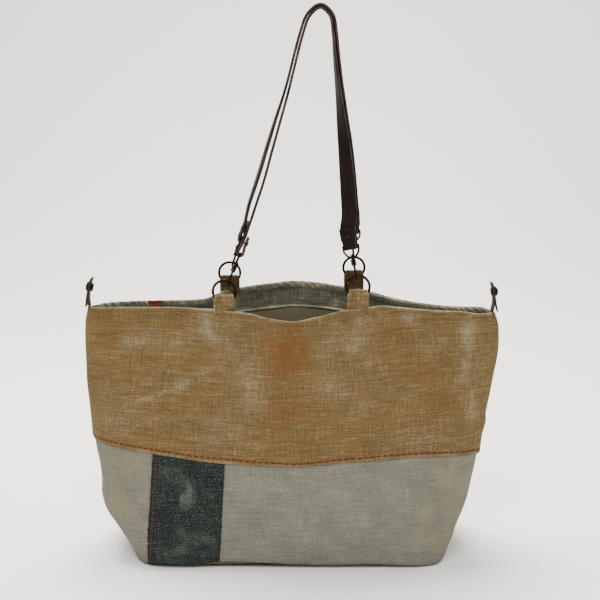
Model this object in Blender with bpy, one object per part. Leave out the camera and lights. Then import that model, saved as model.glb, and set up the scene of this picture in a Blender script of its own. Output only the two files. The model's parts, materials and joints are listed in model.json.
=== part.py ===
# Linen tote handbag: a soft boxed bag of tan and grey linen with a faced rim, two leather
# handles on swivel snap hooks and rings, and a leather snap tab on each side seam.
# Metres, +Z up. The origin is the centre of the base's underside; the front faces -Y.

import math
import bpy
import bmesh
import numpy as np
from mathutils import Matrix, Vector

# Bag body
HALF_WIDTH = 0.2445          # widest half width, a little below the rim
HALF_DEPTH = 0.084           # deepest half depth, low on the body
SEAM_HEIGHT = 0.292          # rim height at the left side seam
RIM_HALF_DEPTH = 0.070       # half the mouth's opening at its middle
PANEL_THICKNESS = 0.0016     # outer linen, two layers at most places
LINING_THICKNESS = 0.0012    # facing and lining cloth
FACING_DEPTH = 0.030         # the green-grey band inside the rim
SEAM_GAP = 0.0003            # running gap between neighbouring cloth pieces
LINING_EASE = 0.0008         # the lining hangs this far inside the outer cloth
LEAST_LEAN = 0.3             # least share of an offset that counts as sideways at the base

# Front lower panels: the charcoal patch's two edges at the hem and at the base
PATCH_LEFT_TOP = -0.1618
PATCH_LEFT_BASE = -0.1690
PATCH_RIGHT_TOP = -0.0775
PATCH_RIGHT_BASE = -0.0850

# Rings in their linen loops
RING_WIRE_RADIUS = 0.00155
RING_RADIUS = 0.01275        # centre of the wire
LOOP_WIDTH = 0.024
LOOP_TOP_WIDTH = 0.0196      # gathered where the fold passes through the ring
LOOP_THICKNESS = 0.0013
LOOP_FOLD_BELOW_RING = 0.003
HANDLE_LEFT = -0.0770        # x of the left pair of loops
HANDLE_RIGHT = 0.0735
HANDLE_HALF_DEPTH = 0.0530   # y of the rings, front and back

# Swivel snap hooks
HOOK_WIRE_RADIUS = 0.00135
HOOK_BEND_RADIUS = 0.0050
HOOK_NOSE_HEIGHT = 0.0092
HOOK_HEAD_HEIGHT = 0.0175
HOOK_HEAD_RADIUS = 0.0031
HOOK_HEAD_WIDTH = 0.0056
SWIVEL_HEIGHT = 0.0226       # underside of the eye's collar above the hook's bend
COLLAR_RADIUS = 0.0033
COLLAR_HEIGHT = 0.0036
POST_RADIUS = 0.00125
POST_HEAD_RADIUS = 0.0023
POST_HEAD_HEIGHT = 0.0012
EYE_HEIGHT = 0.0375          # strap bar above the hook's bend
EYE_WIRE_RADIUS = 0.00125
GATE_THICKNESS = 0.0020
GATE_PIN_RADIUS = 0.0007
METAL_GAP = 0.0003
SWIVEL_GAP = 0.0004

# Leather handles
STRAP_WIDTH = 0.0185
STRAP_END_WIDTH = 0.0156     # notched to pass through the eye
STRAP_THICKNESS = 0.0031
STRAP_RETURN = 0.0200        # the riveted return above the eye
STRAP_NOTCH = 0.0080         # how far from the bar the notched end reaches
STRAP_STATIONS = 34          # cross-sections along the run that the straps share
STRAP_JOIN = 3               # cross-sections between that run and each end
HANDLE_TOP = 0.6375          # outer face of the outer strap at the top of the handle
RIVET_RADIUS = 0.0013
RIVET_HEAD_RADIUS = 0.0031
RIVET_HEAD_HEIGHT = 0.0009
RIVET_RISE = 0.0125          # above the eye's bar

# Leather snap tabs on the side seams
TAB_WIDTH = 0.0125
TAB_THICKNESS = 0.0030
TAB_RISE = 0.0345
TAB_STRAIGHT = 0.86          # share of the rise up to which the tab's slope is even
TAB_FOOTING = 0.012           # share of the rim's length that the tab stands on
SNAP_RADIUS = 0.0056
SNAP_POST_RADIUS = 0.0018
SNAP_RISE = 0.0235

# Body sections: share of the seam height, left and right half width as shares of
# HALF_WIDTH, half depth as a share of HALF_DEPTH, how boxy the plan is (0 like the
# mouth, 1 like the base) and the exponent of the boxy plan.
SECTION_COLUMNS = ("height", "left", "right", "depth", "boxy", "exponent")
SECTIONS = (
    (0.000, 0.705, 0.703, 0.905, 1.00, 6.0),
    (0.018, 0.765, 0.752, 0.945, 1.00, 5.8),
    (0.070, 0.818, 0.800, 0.978, 1.00, 5.4),
    (0.130, 0.852, 0.836, 0.995, 0.98, 4.8),
    (0.210, 0.945, 0.878, 1.000, 0.94, 4.0),
    (0.315, 0.962, 0.908, 0.985, 0.86, 3.4),
    (0.455, 0.980, 0.937, 0.950, 0.74, 3.0),
    (0.593, 0.993, 0.958, 0.905, 0.58, 2.7),
    (0.728, 1.006, 0.977, 0.868, 0.40, 2.5),
    (0.862, 1.004, 0.994, 0.845, 0.20, 2.3),
    (0.940, 0.999, 0.990, 0.838, 0.07, 2.2),
    (1.000, 0.985, 0.970, 0.833, 0.00, 2.2),
)

# Plan of the mouth: share of the half width out from the middle, share of RIM_HALF_DEPTH.
# The mouth bows open between the handle loops and is pinched shut towards the seams.
MOUTH_COLUMNS = ("out", "depth")
MOUTH = (
    (0.00, 1.000),
    (0.12, 0.965),
    (0.25, 0.850),
    (0.34, 0.730),
    (0.43, 0.520),
    (0.52, 0.370),
    (0.63, 0.285),
    (0.78, 0.225),
    (0.90, 0.165),
    (0.97, 0.085),
    (1.00, 0.000),
)

# Rim height above SEAM_HEIGHT, as a share of it, across the front and the back.
RIM_COLUMNS = ("across", "front", "back")
RIM = (
    (0.000, 0.0000, 0.0000),
    (0.050, 0.0050, 0.0090),
    (0.160, 0.0120, 0.0125),
    (0.270, 0.0175, 0.0080),
    (0.330, 0.0240, 0.0310),
    (0.400, 0.0200, 0.0440),
    (0.450, 0.0030, 0.0510),
    (0.500, -0.0070, 0.0580),
    (0.560, 0.0110, 0.0540),
    (0.630, 0.0310, 0.0440),
    (0.700, 0.0320, 0.0330),
    (0.770, 0.0150, 0.0140),
    (0.840, -0.0010, -0.0010),
    (0.910, -0.0090, -0.0095),
    (0.960, -0.0220, -0.0080),
    (1.000, -0.0220, -0.0220),
)

# Hem of the tan upper panels, as a share of the seam height, across the front and back.
HEM_COLUMNS = ("across", "front", "back")
HEM = (
    (0.00, 0.462, 0.462),
    (0.08, 0.464, 0.458),
    (0.16, 0.455, 0.448),
    (0.34, 0.434, 0.432),
    (0.50, 0.424, 0.426),
    (0.62, 0.434, 0.430),
    (0.76, 0.438, 0.436),
    (0.88, 0.426, 0.430),
    (1.00, 0.402, 0.402),
)

# Soft folds in the outer cloth: side, where the fold starts and ends (across, up), how
# wide it spreads as a share of HALF_WIDTH, and how far it stands out (in, if negative)
# as a share of HALF_DEPTH.
FOLD_COLUMNS = ("side", "across_1", "up_1", "across_2", "up_2", "spread", "stand")
FOLDS = (
    ("front", 0.885, 0.800, 0.955, 0.560, 0.055, 0.040),
    ("front", 0.955, 0.560, 0.950, 0.440, 0.045, 0.035),
    ("front", 0.880, 0.400, 0.905, 0.250, 0.060, -0.035),
    ("front", 0.860, 0.230, 0.940, 0.060, 0.070, 0.040),
    ("front", 0.070, 0.390, 0.140, 0.300, 0.060, -0.035),
    ("front", 0.050, 0.240, 0.170, 0.090, 0.070, 0.035),
    ("front", 0.080, 0.580, 0.280, 0.740, 0.070, 0.022),
    ("front", 0.330, 0.060, 0.420, 0.200, 0.090, -0.030),
    ("front", 0.480, 0.860, 0.520, 0.560, 0.180, 0.040),
    ("back", 0.200, 0.300, 0.330, 0.120, 0.100, 0.035),
    ("back", 0.680, 0.350, 0.820, 0.150, 0.100, -0.035),
    ("back", 0.300, 0.820, 0.450, 0.600, 0.120, 0.035),
)

# The four corners where the handles hook on: height of the ring's centre above the rim
# there, lean of the hook towards the middle and its tuck towards the other handle.
CORNER_COLUMNS = ("name", "side", "end", "ring_rise", "lean", "tuck", "strap")
CORNERS = (
    ("front_left", "front", "left", 0.0215, 23.0, 10.0, "front"),
    ("front_right", "front", "right", 0.0250, 11.0, 9.0, "front"),
    ("back_left", "back", "left", 0.0195, 19.0, 11.0, "back"),
    ("back_right", "back", "right", 0.0240, 3.0, 9.0, "back"),
)

# The handles' shared line, from the left eyes to the right ones: share of the rise from the
# eyes to the top, x and y as shares of HANDLE_RIGHT and HANDLE_HALF_DEPTH (y is how far
# each strap has come away from the other), how much further apart than back to back the
# straps lie, in strap thicknesses, and each strap's turn towards the front in degrees.
ROUTE_COLUMNS = ("rise", "out", "depth", "apart", "front_turn", "back_turn")
ROUTE = (
    (0.145, -0.655, 0.690, 0.60, 0.0, 6.0),
    (0.280, -0.491, 0.560, 0.62, 0.0, 8.0),
    (0.405, -0.358, 0.400, 0.48, 0.0, 7.0),
    (0.529, -0.224, 0.220, 0.32, 0.0, 4.0),
    (0.653, -0.087, 0.080, 0.08, 0.0, 0.0),
    (0.777, 0.027, 0.000, 0.00, 0.0, 0.0),
    (0.890, 0.137, 0.000, 0.00, 0.0, 0.0),
    (0.962, 0.240, 0.000, 0.00, 0.0, 0.0),
    (1.000, 0.420, 0.000, 0.00, 0.0, 0.0),
    (0.962, 0.590, 0.000, 0.00, 0.0, 0.0),
    (0.890, 0.640, 0.000, 0.00, 2.0, 2.0),
    (0.777, 0.675, 0.010, 0.00, 6.0, 6.0),
    (0.653, 0.722, 0.070, 0.02, 14.0, 14.0),
    (0.529, 0.771, 0.180, 0.10, 28.0, 28.0),
    (0.405, 0.822, 0.330, 0.25, 44.0, 44.0),
    (0.280, 0.863, 0.510, 0.40, 58.0, 58.0),
    (0.155, 0.899, 0.690, 0.60, 66.0, 66.0),
)

# Columns that every layer of cloth shares, so that the layers stay parallel: shares of the
# run of the left lower panel, the patch, the right lower panel and the whole back.
LEFT_COLUMNS = (0.0, 0.13, 0.26, 0.38, 0.50, 0.62, 0.74, 0.87, 1.0)
PATCH_COLUMNS = (0.0, 0.2, 0.4, 0.6, 0.8, 1.0)
RIGHT_COLUMNS = (0.0, 0.12, 0.24, 0.36, 0.48, 0.59, 0.68, 0.76, 0.83, 0.885, 0.93, 0.97, 1.0)
BACK_COLUMNS = (0.00, 0.025, 0.06, 0.10, 0.14, 0.18, 0.23, 0.29, 0.36, 0.43, 0.50,
                0.57, 0.64, 0.71, 0.77, 0.82, 0.86, 0.90, 0.94, 0.975, 1.00)
# Rows: shares of the height up to the hem, then from the hem to the facing's lower edge
# (up to 1) and from there to the rim (up to 2).
LOWER_ROWS = (0.00, 0.04, 0.14, 0.34, 0.64, 1.00)
UPPER_ROWS = (0.00, 0.34, 0.68, 1.00, 1.50, 2.00)
END_EASE = 0.10              # share of the length where an inner layer closes up at a seam
LEVELS = 61                  # levels of the body's surface worked out up its height
STATIONS = 161               # points worked out across it from seam to seam

for old in list(bpy.data.objects):
    bpy.data.objects.remove(old, do_unlink=True)

handbag = bpy.data.collections.new("linen_handbag")
cutters = bpy.data.collections.new("cutters")
bpy.context.scene.collection.children.link(handbag)
bpy.context.scene.collection.children.link(cutters)


def material(name, colour, roughness, metallic=0.0):
    """A plain Principled material."""
    made = bpy.data.materials.new(name)
    made.use_nodes = True
    shader = made.node_tree.nodes["Principled BSDF"]
    shader.inputs["Base Color"].default_value = (*colour, 1.0)
    shader.inputs["Roughness"].default_value = roughness
    shader.inputs["Metallic"].default_value = metallic
    return made


TAN_LINEN = material("tan_linen", (0.25, 0.15, 0.06), 0.92)
GREY_LINEN = material("grey_linen", (0.27, 0.25, 0.19), 0.92)
CHARCOAL_LINEN = material("charcoal_linen", (0.035, 0.047, 0.04), 0.94)
FACING_LINEN = material("facing_linen", (0.10, 0.11, 0.085), 0.94)
TAUPE_LINEN = material("taupe_linen", (0.13, 0.115, 0.085), 0.92)
LEATHER = material("dark_leather", (0.020, 0.009, 0.007), 0.5)
BRONZE = material("dark_bronze", (0.10, 0.075, 0.045), 0.38, 1.0)


def table(rows, columns):
    """A named-column table as a dict of arrays, strings kept as lists."""
    made = {}
    for index, column in enumerate(columns):
        values = [row[index] for row in rows]
        made[column] = values if isinstance(values[0], str) else np.array(values, float)
    return made


def smooth(at, xs, ys):
    """Monotone cubic through the points of a table's two columns."""
    slopes = np.diff(ys) / np.diff(xs)
    tangents = np.zeros(len(xs))
    tangents[0] = slopes[0]
    tangents[-1] = slopes[-1]
    for i in range(1, len(xs) - 1):
        if slopes[i - 1] * slopes[i] > 0:
            tangents[i] = 2 * slopes[i - 1] * slopes[i] / (slopes[i - 1] + slopes[i])
    at = np.clip(np.asarray(at, float), xs[0], xs[-1])
    i = np.clip(np.searchsorted(xs, at, side="right") - 1, 0, len(xs) - 2)
    h = xs[i + 1] - xs[i]
    t = (at - xs[i]) / h
    return ((2 * t ** 3 - 3 * t ** 2 + 1) * ys[i] + (t ** 3 - 2 * t ** 2 + t) * h * tangents[i]
            + (3 * t ** 2 - 2 * t ** 3) * ys[i + 1] + (t ** 3 - t ** 2) * h * tangents[i + 1])


def spaced(points, count):
    """The same polyline with its points evenly spaced."""
    run = np.concatenate([[0.0], np.cumsum(np.linalg.norm(np.diff(points, axis=0), axis=1))])
    at = np.linspace(0.0, run[-1], count)
    return np.stack([np.interp(at, run, points[:, k]) for k in range(points.shape[1])], axis=1)


sections = table(SECTIONS, SECTION_COLUMNS)
mouth = table(MOUTH, MOUTH_COLUMNS)
rim = table(RIM, RIM_COLUMNS)
hem = table(HEM, HEM_COLUMNS)


def rim_height(side, across):
    return SEAM_HEIGHT * (1.0 + smooth(across, rim["across"], rim[side]))


def hem_share(side, across):
    """The hem's height as a share of the rim's height above it."""
    return SEAM_HEIGHT * smooth(across, hem["across"], hem[side]) / rim_height(side, across)


def plan(share):
    """Half plan of the body at a share of its height, from the left seam to the right."""
    value = {column: smooth(share, sections["height"], sections[column])
             for column in SECTION_COLUMNS[1:]}
    angle = np.linspace(0.0, math.pi, 721)
    power = 2.0 / value["exponent"]
    box_x = -np.sign(np.cos(angle)) * np.abs(np.cos(angle)) ** power
    box_y = np.abs(np.sin(angle)) ** power
    box = spaced(np.stack([box_x * HALF_WIDTH, box_y * HALF_DEPTH], axis=1), STATIONS)
    lens_x = np.linspace(-1.0, 1.0, 721)
    lens_y = smooth(np.abs(lens_x), mouth["out"], mouth["depth"])
    lens = spaced(np.stack([lens_x * HALF_WIDTH, lens_y * HALF_DEPTH], axis=1), STATIONS)
    x = value["boxy"] * box[:, 0] + (1.0 - value["boxy"]) * lens[:, 0]
    y = value["boxy"] * box[:, 1] * value["depth"]
    y += (1.0 - value["boxy"]) * lens[:, 1] * RIM_HALF_DEPTH / HALF_DEPTH
    x = np.where(x < 0, x * value["left"], x * value["right"])
    return x, y


def fold_relief(side, across, up):
    """How far the soft folds push the cloth outwards."""
    relief = np.zeros_like(across)
    for row in FOLDS:
        fold = dict(zip(FOLD_COLUMNS, row))
        if fold["side"] != side:
            continue
        start = np.array([fold["across_1"] * 2 * HALF_WIDTH, fold["up_1"] * SEAM_HEIGHT])
        end = np.array([fold["across_2"] * 2 * HALF_WIDTH, fold["up_2"] * SEAM_HEIGHT])
        line = end - start
        px = across * 2 * HALF_WIDTH - start[0]
        pz = up * SEAM_HEIGHT - start[1]
        along = np.clip((px * line[0] + pz * line[1]) / (line @ line), 0.0, 1.0)
        away = np.hypot(px - along * line[0], pz - along * line[1])
        spread = fold["spread"] * HALF_WIDTH
        relief += fold["stand"] * HALF_DEPTH * np.exp(-(away / spread) ** 2)
    calm = np.clip(np.minimum(up, 1.0 - up) / 0.08, 0.0, 1.0)
    edge = np.clip(np.minimum(across, 1.0 - across) / 0.04, 0.0, 1.0)
    return relief * calm * edge


def half_surface(side):
    """Points of the body's outer surface on one side, level by level, and its normals."""
    sign = -1.0 if side == "front" else 1.0
    across = np.linspace(0.0, 1.0, STATIONS)
    levels = np.linspace(0.0, 1.0, LEVELS) ** 1.25
    points = np.zeros((LEVELS, STATIONS, 3))
    for row, share in enumerate(levels):
        x, y = plan(share)
        points[row] = np.stack([x, sign * y, share * rim_height(side, across)], axis=1)
    along = np.gradient(points, axis=1)
    upward = np.gradient(points, axis=0)
    inward = np.cross(along, upward) * sign
    inward /= np.linalg.norm(inward, axis=2, keepdims=True)
    grid_across, grid_up = np.meshgrid(across, levels)
    relief = fold_relief(side, grid_across, grid_up)
    return levels, points - inward * relief[..., None], inward


HALVES = {side: half_surface(side) for side in ("front", "back")}


def layer(side, inset):
    """The half surface set in by a distance, cut off where it crosses the seam plane."""
    sign = -1.0 if side == "front" else 1.0
    levels, points, inward = HALVES[side]
    rows = []
    for row in range(LEVELS):
        moved = points[row] + inward[row] * inset
        if row == 0:
            sideways = np.linalg.norm(inward[row, :, :2], axis=1, keepdims=True)
            step = inward[row, :, :2] / sideways / np.maximum(sideways, LEAST_LEAN)
            moved[:, :2] = points[row, :, :2] + step * inset
        moved[:, 2] = np.maximum(moved[:, 2], 0.0) * min(row, 1)
        depth = moved[:, 1] * sign
        inside = np.nonzero(depth > SEAM_GAP / 2)[0]
        first, last = inside[0], inside[-1]
        kept = moved[first:last + 1]
        places = [np.arange(first, last + 1) / (STATIONS - 1)]
        ends = []
        for edge, step in ((first, -1), (last, 1)):
            outer = moved[np.clip(edge + step, 0, STATIONS - 1)]
            reach = depth[edge] - outer[1] * sign
            share = (depth[edge] - SEAM_GAP / 2) / reach if reach > 1e-9 else 0.0
            share = np.clip(share, 0.0, 1.0)
            end = moved[edge] + (outer - moved[edge]) * share
            end[1] = sign * SEAM_GAP / 2
            ends.append(end)
            places.append([(edge + step * share) / (STATIONS - 1)])
        line = np.vstack([ends[0], kept, ends[1]])
        place = np.concatenate([places[1], places[0], places[2]])
        start, stop = place[0], place[-1]
        even = np.linspace(0.0, 1.0, STATIONS)
        wanted = np.interp(even, (0.0, END_EASE, 1.0 - END_EASE, 1.0),
                           (start, max(END_EASE, start), min(1.0 - END_EASE, stop), stop))
        rows.append(np.stack([np.interp(wanted, place, line[:, k]) for k in range(3)], axis=1))
    return levels, np.array(rows)


LAYERS = {}


def surface(side, inset, across, share):
    """Points on a layer, at shares of its length across and its height up."""
    if (side, inset) not in LAYERS:
        LAYERS[side, inset] = layer(side, inset)
    levels, grid = LAYERS[side, inset]
    row = np.clip(np.searchsorted(levels, share, side="right") - 1, 0, LEVELS - 2)
    up = ((share - levels[row]) / (levels[row + 1] - levels[row]))[..., None]
    place = np.clip(across, 0.0, 1.0) * (STATIONS - 1)
    column = np.clip(place.astype(int), 0, STATIONS - 2)
    side_step = (place - column)[..., None]
    low = grid[row, column] * (1 - side_step) + grid[row, column + 1] * side_step
    high = grid[row + 1, column] * (1 - side_step) + grid[row + 1, column + 1] * side_step
    return low * (1 - up) + high * up


def across_at(side, inset, x, share):
    """Where a layer reaches a given x, as a share of its length across."""
    if (side, inset) not in LAYERS:
        LAYERS[side, inset] = layer(side, inset)
    levels, grid = LAYERS[side, inset]
    row = int(np.clip(np.searchsorted(levels, share), 0, LEVELS - 1))
    return float(np.interp(x, grid[row, :, 0], np.linspace(0.0, 1.0, STATIONS)))


def add_object(name, mesh, finish, collection=None):
    made = bpy.data.objects.new(name, mesh)
    (collection or handbag).objects.link(made)
    if finish:
        mesh.materials.append(finish)
    return made


def split_quad(shell, low_a, low_b, high_b, high_a):
    """Two triangles, cut from the low left to the high right corner on every layer."""
    if low_a.co.x <= low_b.co.x:
        shell.faces.new((low_a, low_b, high_b))
        shell.faces.new((low_a, high_b, high_a))
    else:
        shell.faces.new((low_a, low_b, high_a))
        shell.faces.new((low_b, high_b, high_a))


def finish_cloth(shell, name, finish):
    """The built sheet as a named object with soft shading."""
    bmesh.ops.recalc_face_normals(shell, faces=shell.faces)
    mesh = bpy.data.meshes.new(name)
    shell.to_mesh(mesh)
    shell.free()
    mesh.shade_smooth()
    mesh.set_sharp_from_angle(angle=math.radians(40))
    return add_object(name, mesh, finish)


def solid_from_grids(name, outer, inner, finish):
    """A sheet with thickness: two grids of points joined round their edges."""
    rows, columns = outer.shape[:2]
    shell = bmesh.new()
    grids = [[[shell.verts.new(point) for point in row] for row in grid]
             for grid in (outer, inner)]
    for grid in grids:
        for low, high in zip(grid, grid[1:]):
            for c in range(columns - 1):
                split_quad(shell, low[c], low[c + 1], high[c + 1], high[c])
    for c in range(columns - 1):
        for r in (0, rows - 1):
            shell.faces.new((grids[0][r][c], grids[0][r][c + 1], grids[1][r][c + 1],
                             grids[1][r][c]))
    for r in range(rows - 1):
        for c in (0, columns - 1):
            shell.faces.new((grids[0][r][c], grids[0][r + 1][c], grids[1][r + 1][c],
                             grids[1][r][c]))
    return finish_cloth(shell, name, finish)


def under_hem(side, across, step, gap=0.0):
    """Height of a row below the hem, as a share of the rim's, the last a gap under it."""
    return step * (hem_share(side, across) - gap / SEAM_HEIGHT)


def over_hem(side, across, step, gap=0.0):
    """Height of a row from a gap above the hem up to the facing's edge and to the rim."""
    low = hem_share(side, across) + gap / SEAM_HEIGHT
    turn = 1.0 - FACING_DEPTH / rim_height(side, across)
    return low + min(step, 1.0) * (turn - low) + max(step - 1.0, 0.0) * (1.0 - turn)


def patch_edges(step):
    """Where the patch's two edges cross a row below the hem, as shares of the length."""
    height = float(under_hem("front", np.array(0.5), step))
    return [across_at("front", 0.0, low + (high - low) * step, height)
            for low, high in ((PATCH_LEFT_BASE, PATCH_LEFT_TOP),
                              (PATCH_RIGHT_BASE, PATCH_RIGHT_TOP))]


def columns(side, step=1.0, part=None, gap=0.0):
    """Shares of the length at which a row is sampled, of the whole side or of one panel."""
    if side == "back":
        return np.array(BACK_COLUMNS)
    left, right = patch_edges(step)
    bounds = ((0.0, left - gap, LEFT_COLUMNS), (left + gap, right - gap, PATCH_COLUMNS),
              (right + gap, 1.0, RIGHT_COLUMNS))
    parts = [low + (high - low) * np.array(shares) for low, high, shares in bounds]
    if part is not None:
        return parts[part]
    return np.concatenate([parts[0], parts[1][1:], parts[2][1:]])


def panel(name, side, finish, line, steps, part=None):
    """An outer cloth panel on given rows, over a whole side or one part of the front."""
    half = SEAM_GAP / 2
    share_gap = half / (2 * HALF_WIDTH) if part is not None else 0.0
    grids = []
    for inset in (0.0, PANEL_THICKNESS):
        grid = []
        for step in steps:
            across = columns(side, step if line is under_hem else 1.0, part, share_gap)
            grid.append(surface(side, inset, across, line(side, across, step, half)))
        grids.append(np.array(grid))
    return solid_from_grids(name, grids[0], grids[1], finish)


def outer_panels():
    for side in ("front", "back"):
        panel(f"{side}_upper_panel", side, TAN_LINEN, over_hem, UPPER_ROWS)
    panel("front_lower_left_panel", "front", GREY_LINEN, under_hem, LOWER_ROWS, 0)
    panel("charcoal_patch", "front", CHARCOAL_LINEN, under_hem, LOWER_ROWS, 1)
    panel("front_lower_right_panel", "front", GREY_LINEN, under_hem, LOWER_ROWS, 2)
    panel("back_lower_panel", "back", GREY_LINEN, under_hem, LOWER_ROWS)


def closed_ring(inset, line, step, gap=0.0):
    """A whole turn of a layer round the body, front from left to right, then the back."""
    rows = []
    for side in ("front", "back"):
        across = columns(side, step if line is under_hem else 1.0)
        rows.append(surface(side, inset, across, line(side, across, step) - gap / SEAM_HEIGHT))
    front, back = rows
    front[0, 1] = front[-1, 1] = 0.0
    return np.vstack([front, back[-2:0:-1]])


def bag_of_rings(name, skins, finish, lids=False):
    """A wall of rings, an outer and an inner skin joined at the top, and at the bottom or
    each closed with a lid of its own there."""
    shell = bmesh.new()
    walls = [[[shell.verts.new(point) for point in ring] for ring in skin] for skin in skins]
    for rings in walls:
        if lids:
            shell.faces.new(rings[0])
        for low, high in zip(rings, rings[1:]):
            for i in range(len(low)):
                j = (i + 1) % len(low)
                split_quad(shell, low[i], low[j], high[j], high[i])
    for edge in (-1,) if lids else (-1, 0):
        outer, inner = walls[0][edge], walls[1][edge]
        for i in range(len(outer)):
            j = (i + 1) % len(outer)
            shell.faces.new((outer[i], outer[j], inner[j], inner[i]))
    return finish_cloth(shell, name, finish)


def base_panel():
    """The flat bottom, sewn in between the walls."""
    low = closed_ring(PANEL_THICKNESS + SEAM_GAP, under_hem, 0.0)
    plate = bmesh.new()
    bottom = [plate.verts.new(point) for point in low]
    top = [plate.verts.new(point + (0.0, 0.0, PANEL_THICKNESS)) for point in low]
    plate.faces.new(bottom)
    plate.faces.new(top)
    for i in range(len(low)):
        j = (i + 1) % len(low)
        plate.faces.new((bottom[i], bottom[j], top[j], top[i]))
    return finish_cloth(plate, "base_panel", GREY_LINEN)


def facing():
    """The green-grey band sewn inside the rim, all the way round."""
    skins = []
    for inset in (PANEL_THICKNESS + SEAM_GAP, PANEL_THICKNESS + SEAM_GAP + LINING_THICKNESS):
        skins.append([closed_ring(inset, over_hem, step) for step in UPPER_ROWS if step >= 1.0])
    bag_of_rings("facing", skins, FACING_LINEN)


def lining():
    """The taupe bag inside, with its own floor, from the facing's hem down."""
    skins = []
    floor = PANEL_THICKNESS + SEAM_GAP
    hung = PANEL_THICKNESS + LINING_EASE
    for inset, bottom in ((hung, floor), (hung + LINING_THICKNESS, floor + LINING_THICKNESS)):
        rings = [closed_ring(inset, under_hem, step) for step in LOWER_ROWS]
        rings += [closed_ring(inset, over_hem, step) for step in UPPER_ROWS if 0.0 < step < 1.0]
        rings.append(closed_ring(inset, over_hem, 1.0, SEAM_GAP))
        rings[0][:, 2] = bottom
        skins.append(rings)
    bag_of_rings("lining", skins, TAUPE_LINEN, lids=True)


def ribbon(name, path, sideways, widths, thickness, finish):
    """A flat strip swept along a path, its width lying along the sideways vectors."""
    strip = bmesh.new()
    rings = []
    tangents = np.gradient(path, axis=0)
    for point, tangent, aside, width in zip(path, tangents, sideways, widths):
        forward = Vector(tangent).normalized()
        across = Vector(aside)
        across = (across - forward * across.dot(forward)).normalized()
        face = forward.cross(across)
        half_w = across * width / 2
        half_t = face * thickness / 2
        centre = Vector(point)
        rings.append([strip.verts.new(centre + a * half_w + b * half_t)
                      for a, b in ((-1, -1), (1, -1), (1, 1), (-1, 1))])
    for low, high in zip(rings, rings[1:]):
        for i in range(4):
            j = (i + 1) % 4
            strip.faces.new((low[i], low[j], high[j], high[i]))
    strip.faces.new(rings[0])
    strip.faces.new(rings[-1])
    bmesh.ops.recalc_face_normals(strip, faces=strip.faces)
    mesh = bpy.data.meshes.new(name)
    strip.to_mesh(mesh)
    strip.free()
    mesh.shade_smooth()
    mesh.set_sharp_from_angle(angle=math.radians(40))
    return add_object(name, mesh, finish)


def corner_frame(corner):
    """Ring centre, contact point and the swivel's frame for one corner of the handles."""
    sign = -1.0 if corner["side"] == "front" else 1.0
    x = HANDLE_LEFT if corner["end"] == "left" else HANDLE_RIGHT
    towards = 1.0 if corner["end"] == "left" else -1.0
    across = across_at(corner["side"], 0.0, x, 1.0)
    reach = LOOP_WIDTH / 2 / (2 * HALF_WIDTH)
    near = np.linspace(across - reach, across + reach, 5)
    rim_top = float(np.max(rim_height(corner["side"], near)))
    wall = surface(corner["side"], 0.0, np.array([across]), np.array([1.0]))[0]
    depth = abs(wall[1]) - (PANEL_THICKNESS * 2 + SEAM_GAP) / 2
    ring = Vector((x, sign * depth, rim_top + corner["ring_rise"]))
    lean = math.radians(corner["lean"]) * towards
    tuck = math.radians(corner["tuck"])
    up = Vector((math.sin(lean) * math.cos(tuck), -sign * math.sin(tuck),
                 math.cos(lean) * math.cos(tuck)))
    radial = Vector((math.sin(lean), 0.0, math.cos(lean)))
    below = RING_WIRE_RADIUS + METAL_GAP + HOOK_WIRE_RADIUS
    bend = ring + radial * (RING_RADIUS - below)
    outwards = Vector((0.0, sign, 0.0))
    outwards = (outwards - up * outwards.dot(up)).normalized()
    return {"ring": ring, "rim": rim_top, "bend": bend, "up": up, "out": outwards,
            "side": outwards.cross(up), "sign": sign}


def local_matrix(place, turn=0.0):
    """Matrix whose Z is the swivel's axis and whose Y points out of the bag."""
    y_axis = Matrix.Rotation(turn, 3, place["up"]) @ place["out"]
    x_axis = y_axis.cross(place["up"])
    made = Matrix((x_axis, y_axis, place["up"])).transposed().to_4x4()
    made.translation = place["bend"]
    return made


def wire(name, points, radius, closed=False, resolution=2):
    """A round wire through the points, as a welded mesh object."""
    curve = bpy.data.curves.new(name, "CURVE")
    curve.dimensions = "3D"
    curve.bevel_depth = radius
    curve.bevel_resolution = resolution
    curve.use_fill_caps = not closed
    spline = curve.splines.new("POLY")
    spline.points.add(len(points) - 1)
    for point, place in zip(spline.points, points):
        point.co = (*place, 1.0)
    spline.use_cyclic_u = closed
    holder = bpy.data.objects.new(name, curve)
    handbag.objects.link(holder)
    bpy.context.view_layer.update()
    shown = holder.evaluated_get(bpy.context.evaluated_depsgraph_get())
    mesh = bpy.data.meshes.new_from_object(shown)
    bpy.data.objects.remove(holder, do_unlink=True)
    bpy.data.curves.remove(curve)
    weld = bmesh.new()
    weld.from_mesh(mesh)
    bmesh.ops.remove_doubles(weld, verts=weld.verts, dist=1e-6)
    bmesh.ops.recalc_face_normals(weld, faces=weld.faces)
    weld.to_mesh(mesh)
    weld.free()
    return mesh


def cylinder(radius, height, centre, axis="Z", sides=12):
    """A mesh cylinder about a local axis."""
    drum = bmesh.new()
    bmesh.ops.create_cone(drum, cap_ends=True, segments=sides, radius1=radius, radius2=radius,
                          depth=height)
    turn = {"Z": Matrix(), "X": Matrix.Rotation(math.pi / 2, 4, "Y"),
            "Y": Matrix.Rotation(math.pi / 2, 4, "X")}[axis]
    bmesh.ops.transform(drum, matrix=Matrix.Translation(centre) @ turn, verts=drum.verts)
    mesh = bpy.data.meshes.new("drum")
    drum.to_mesh(mesh)
    drum.free()
    return mesh


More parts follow.
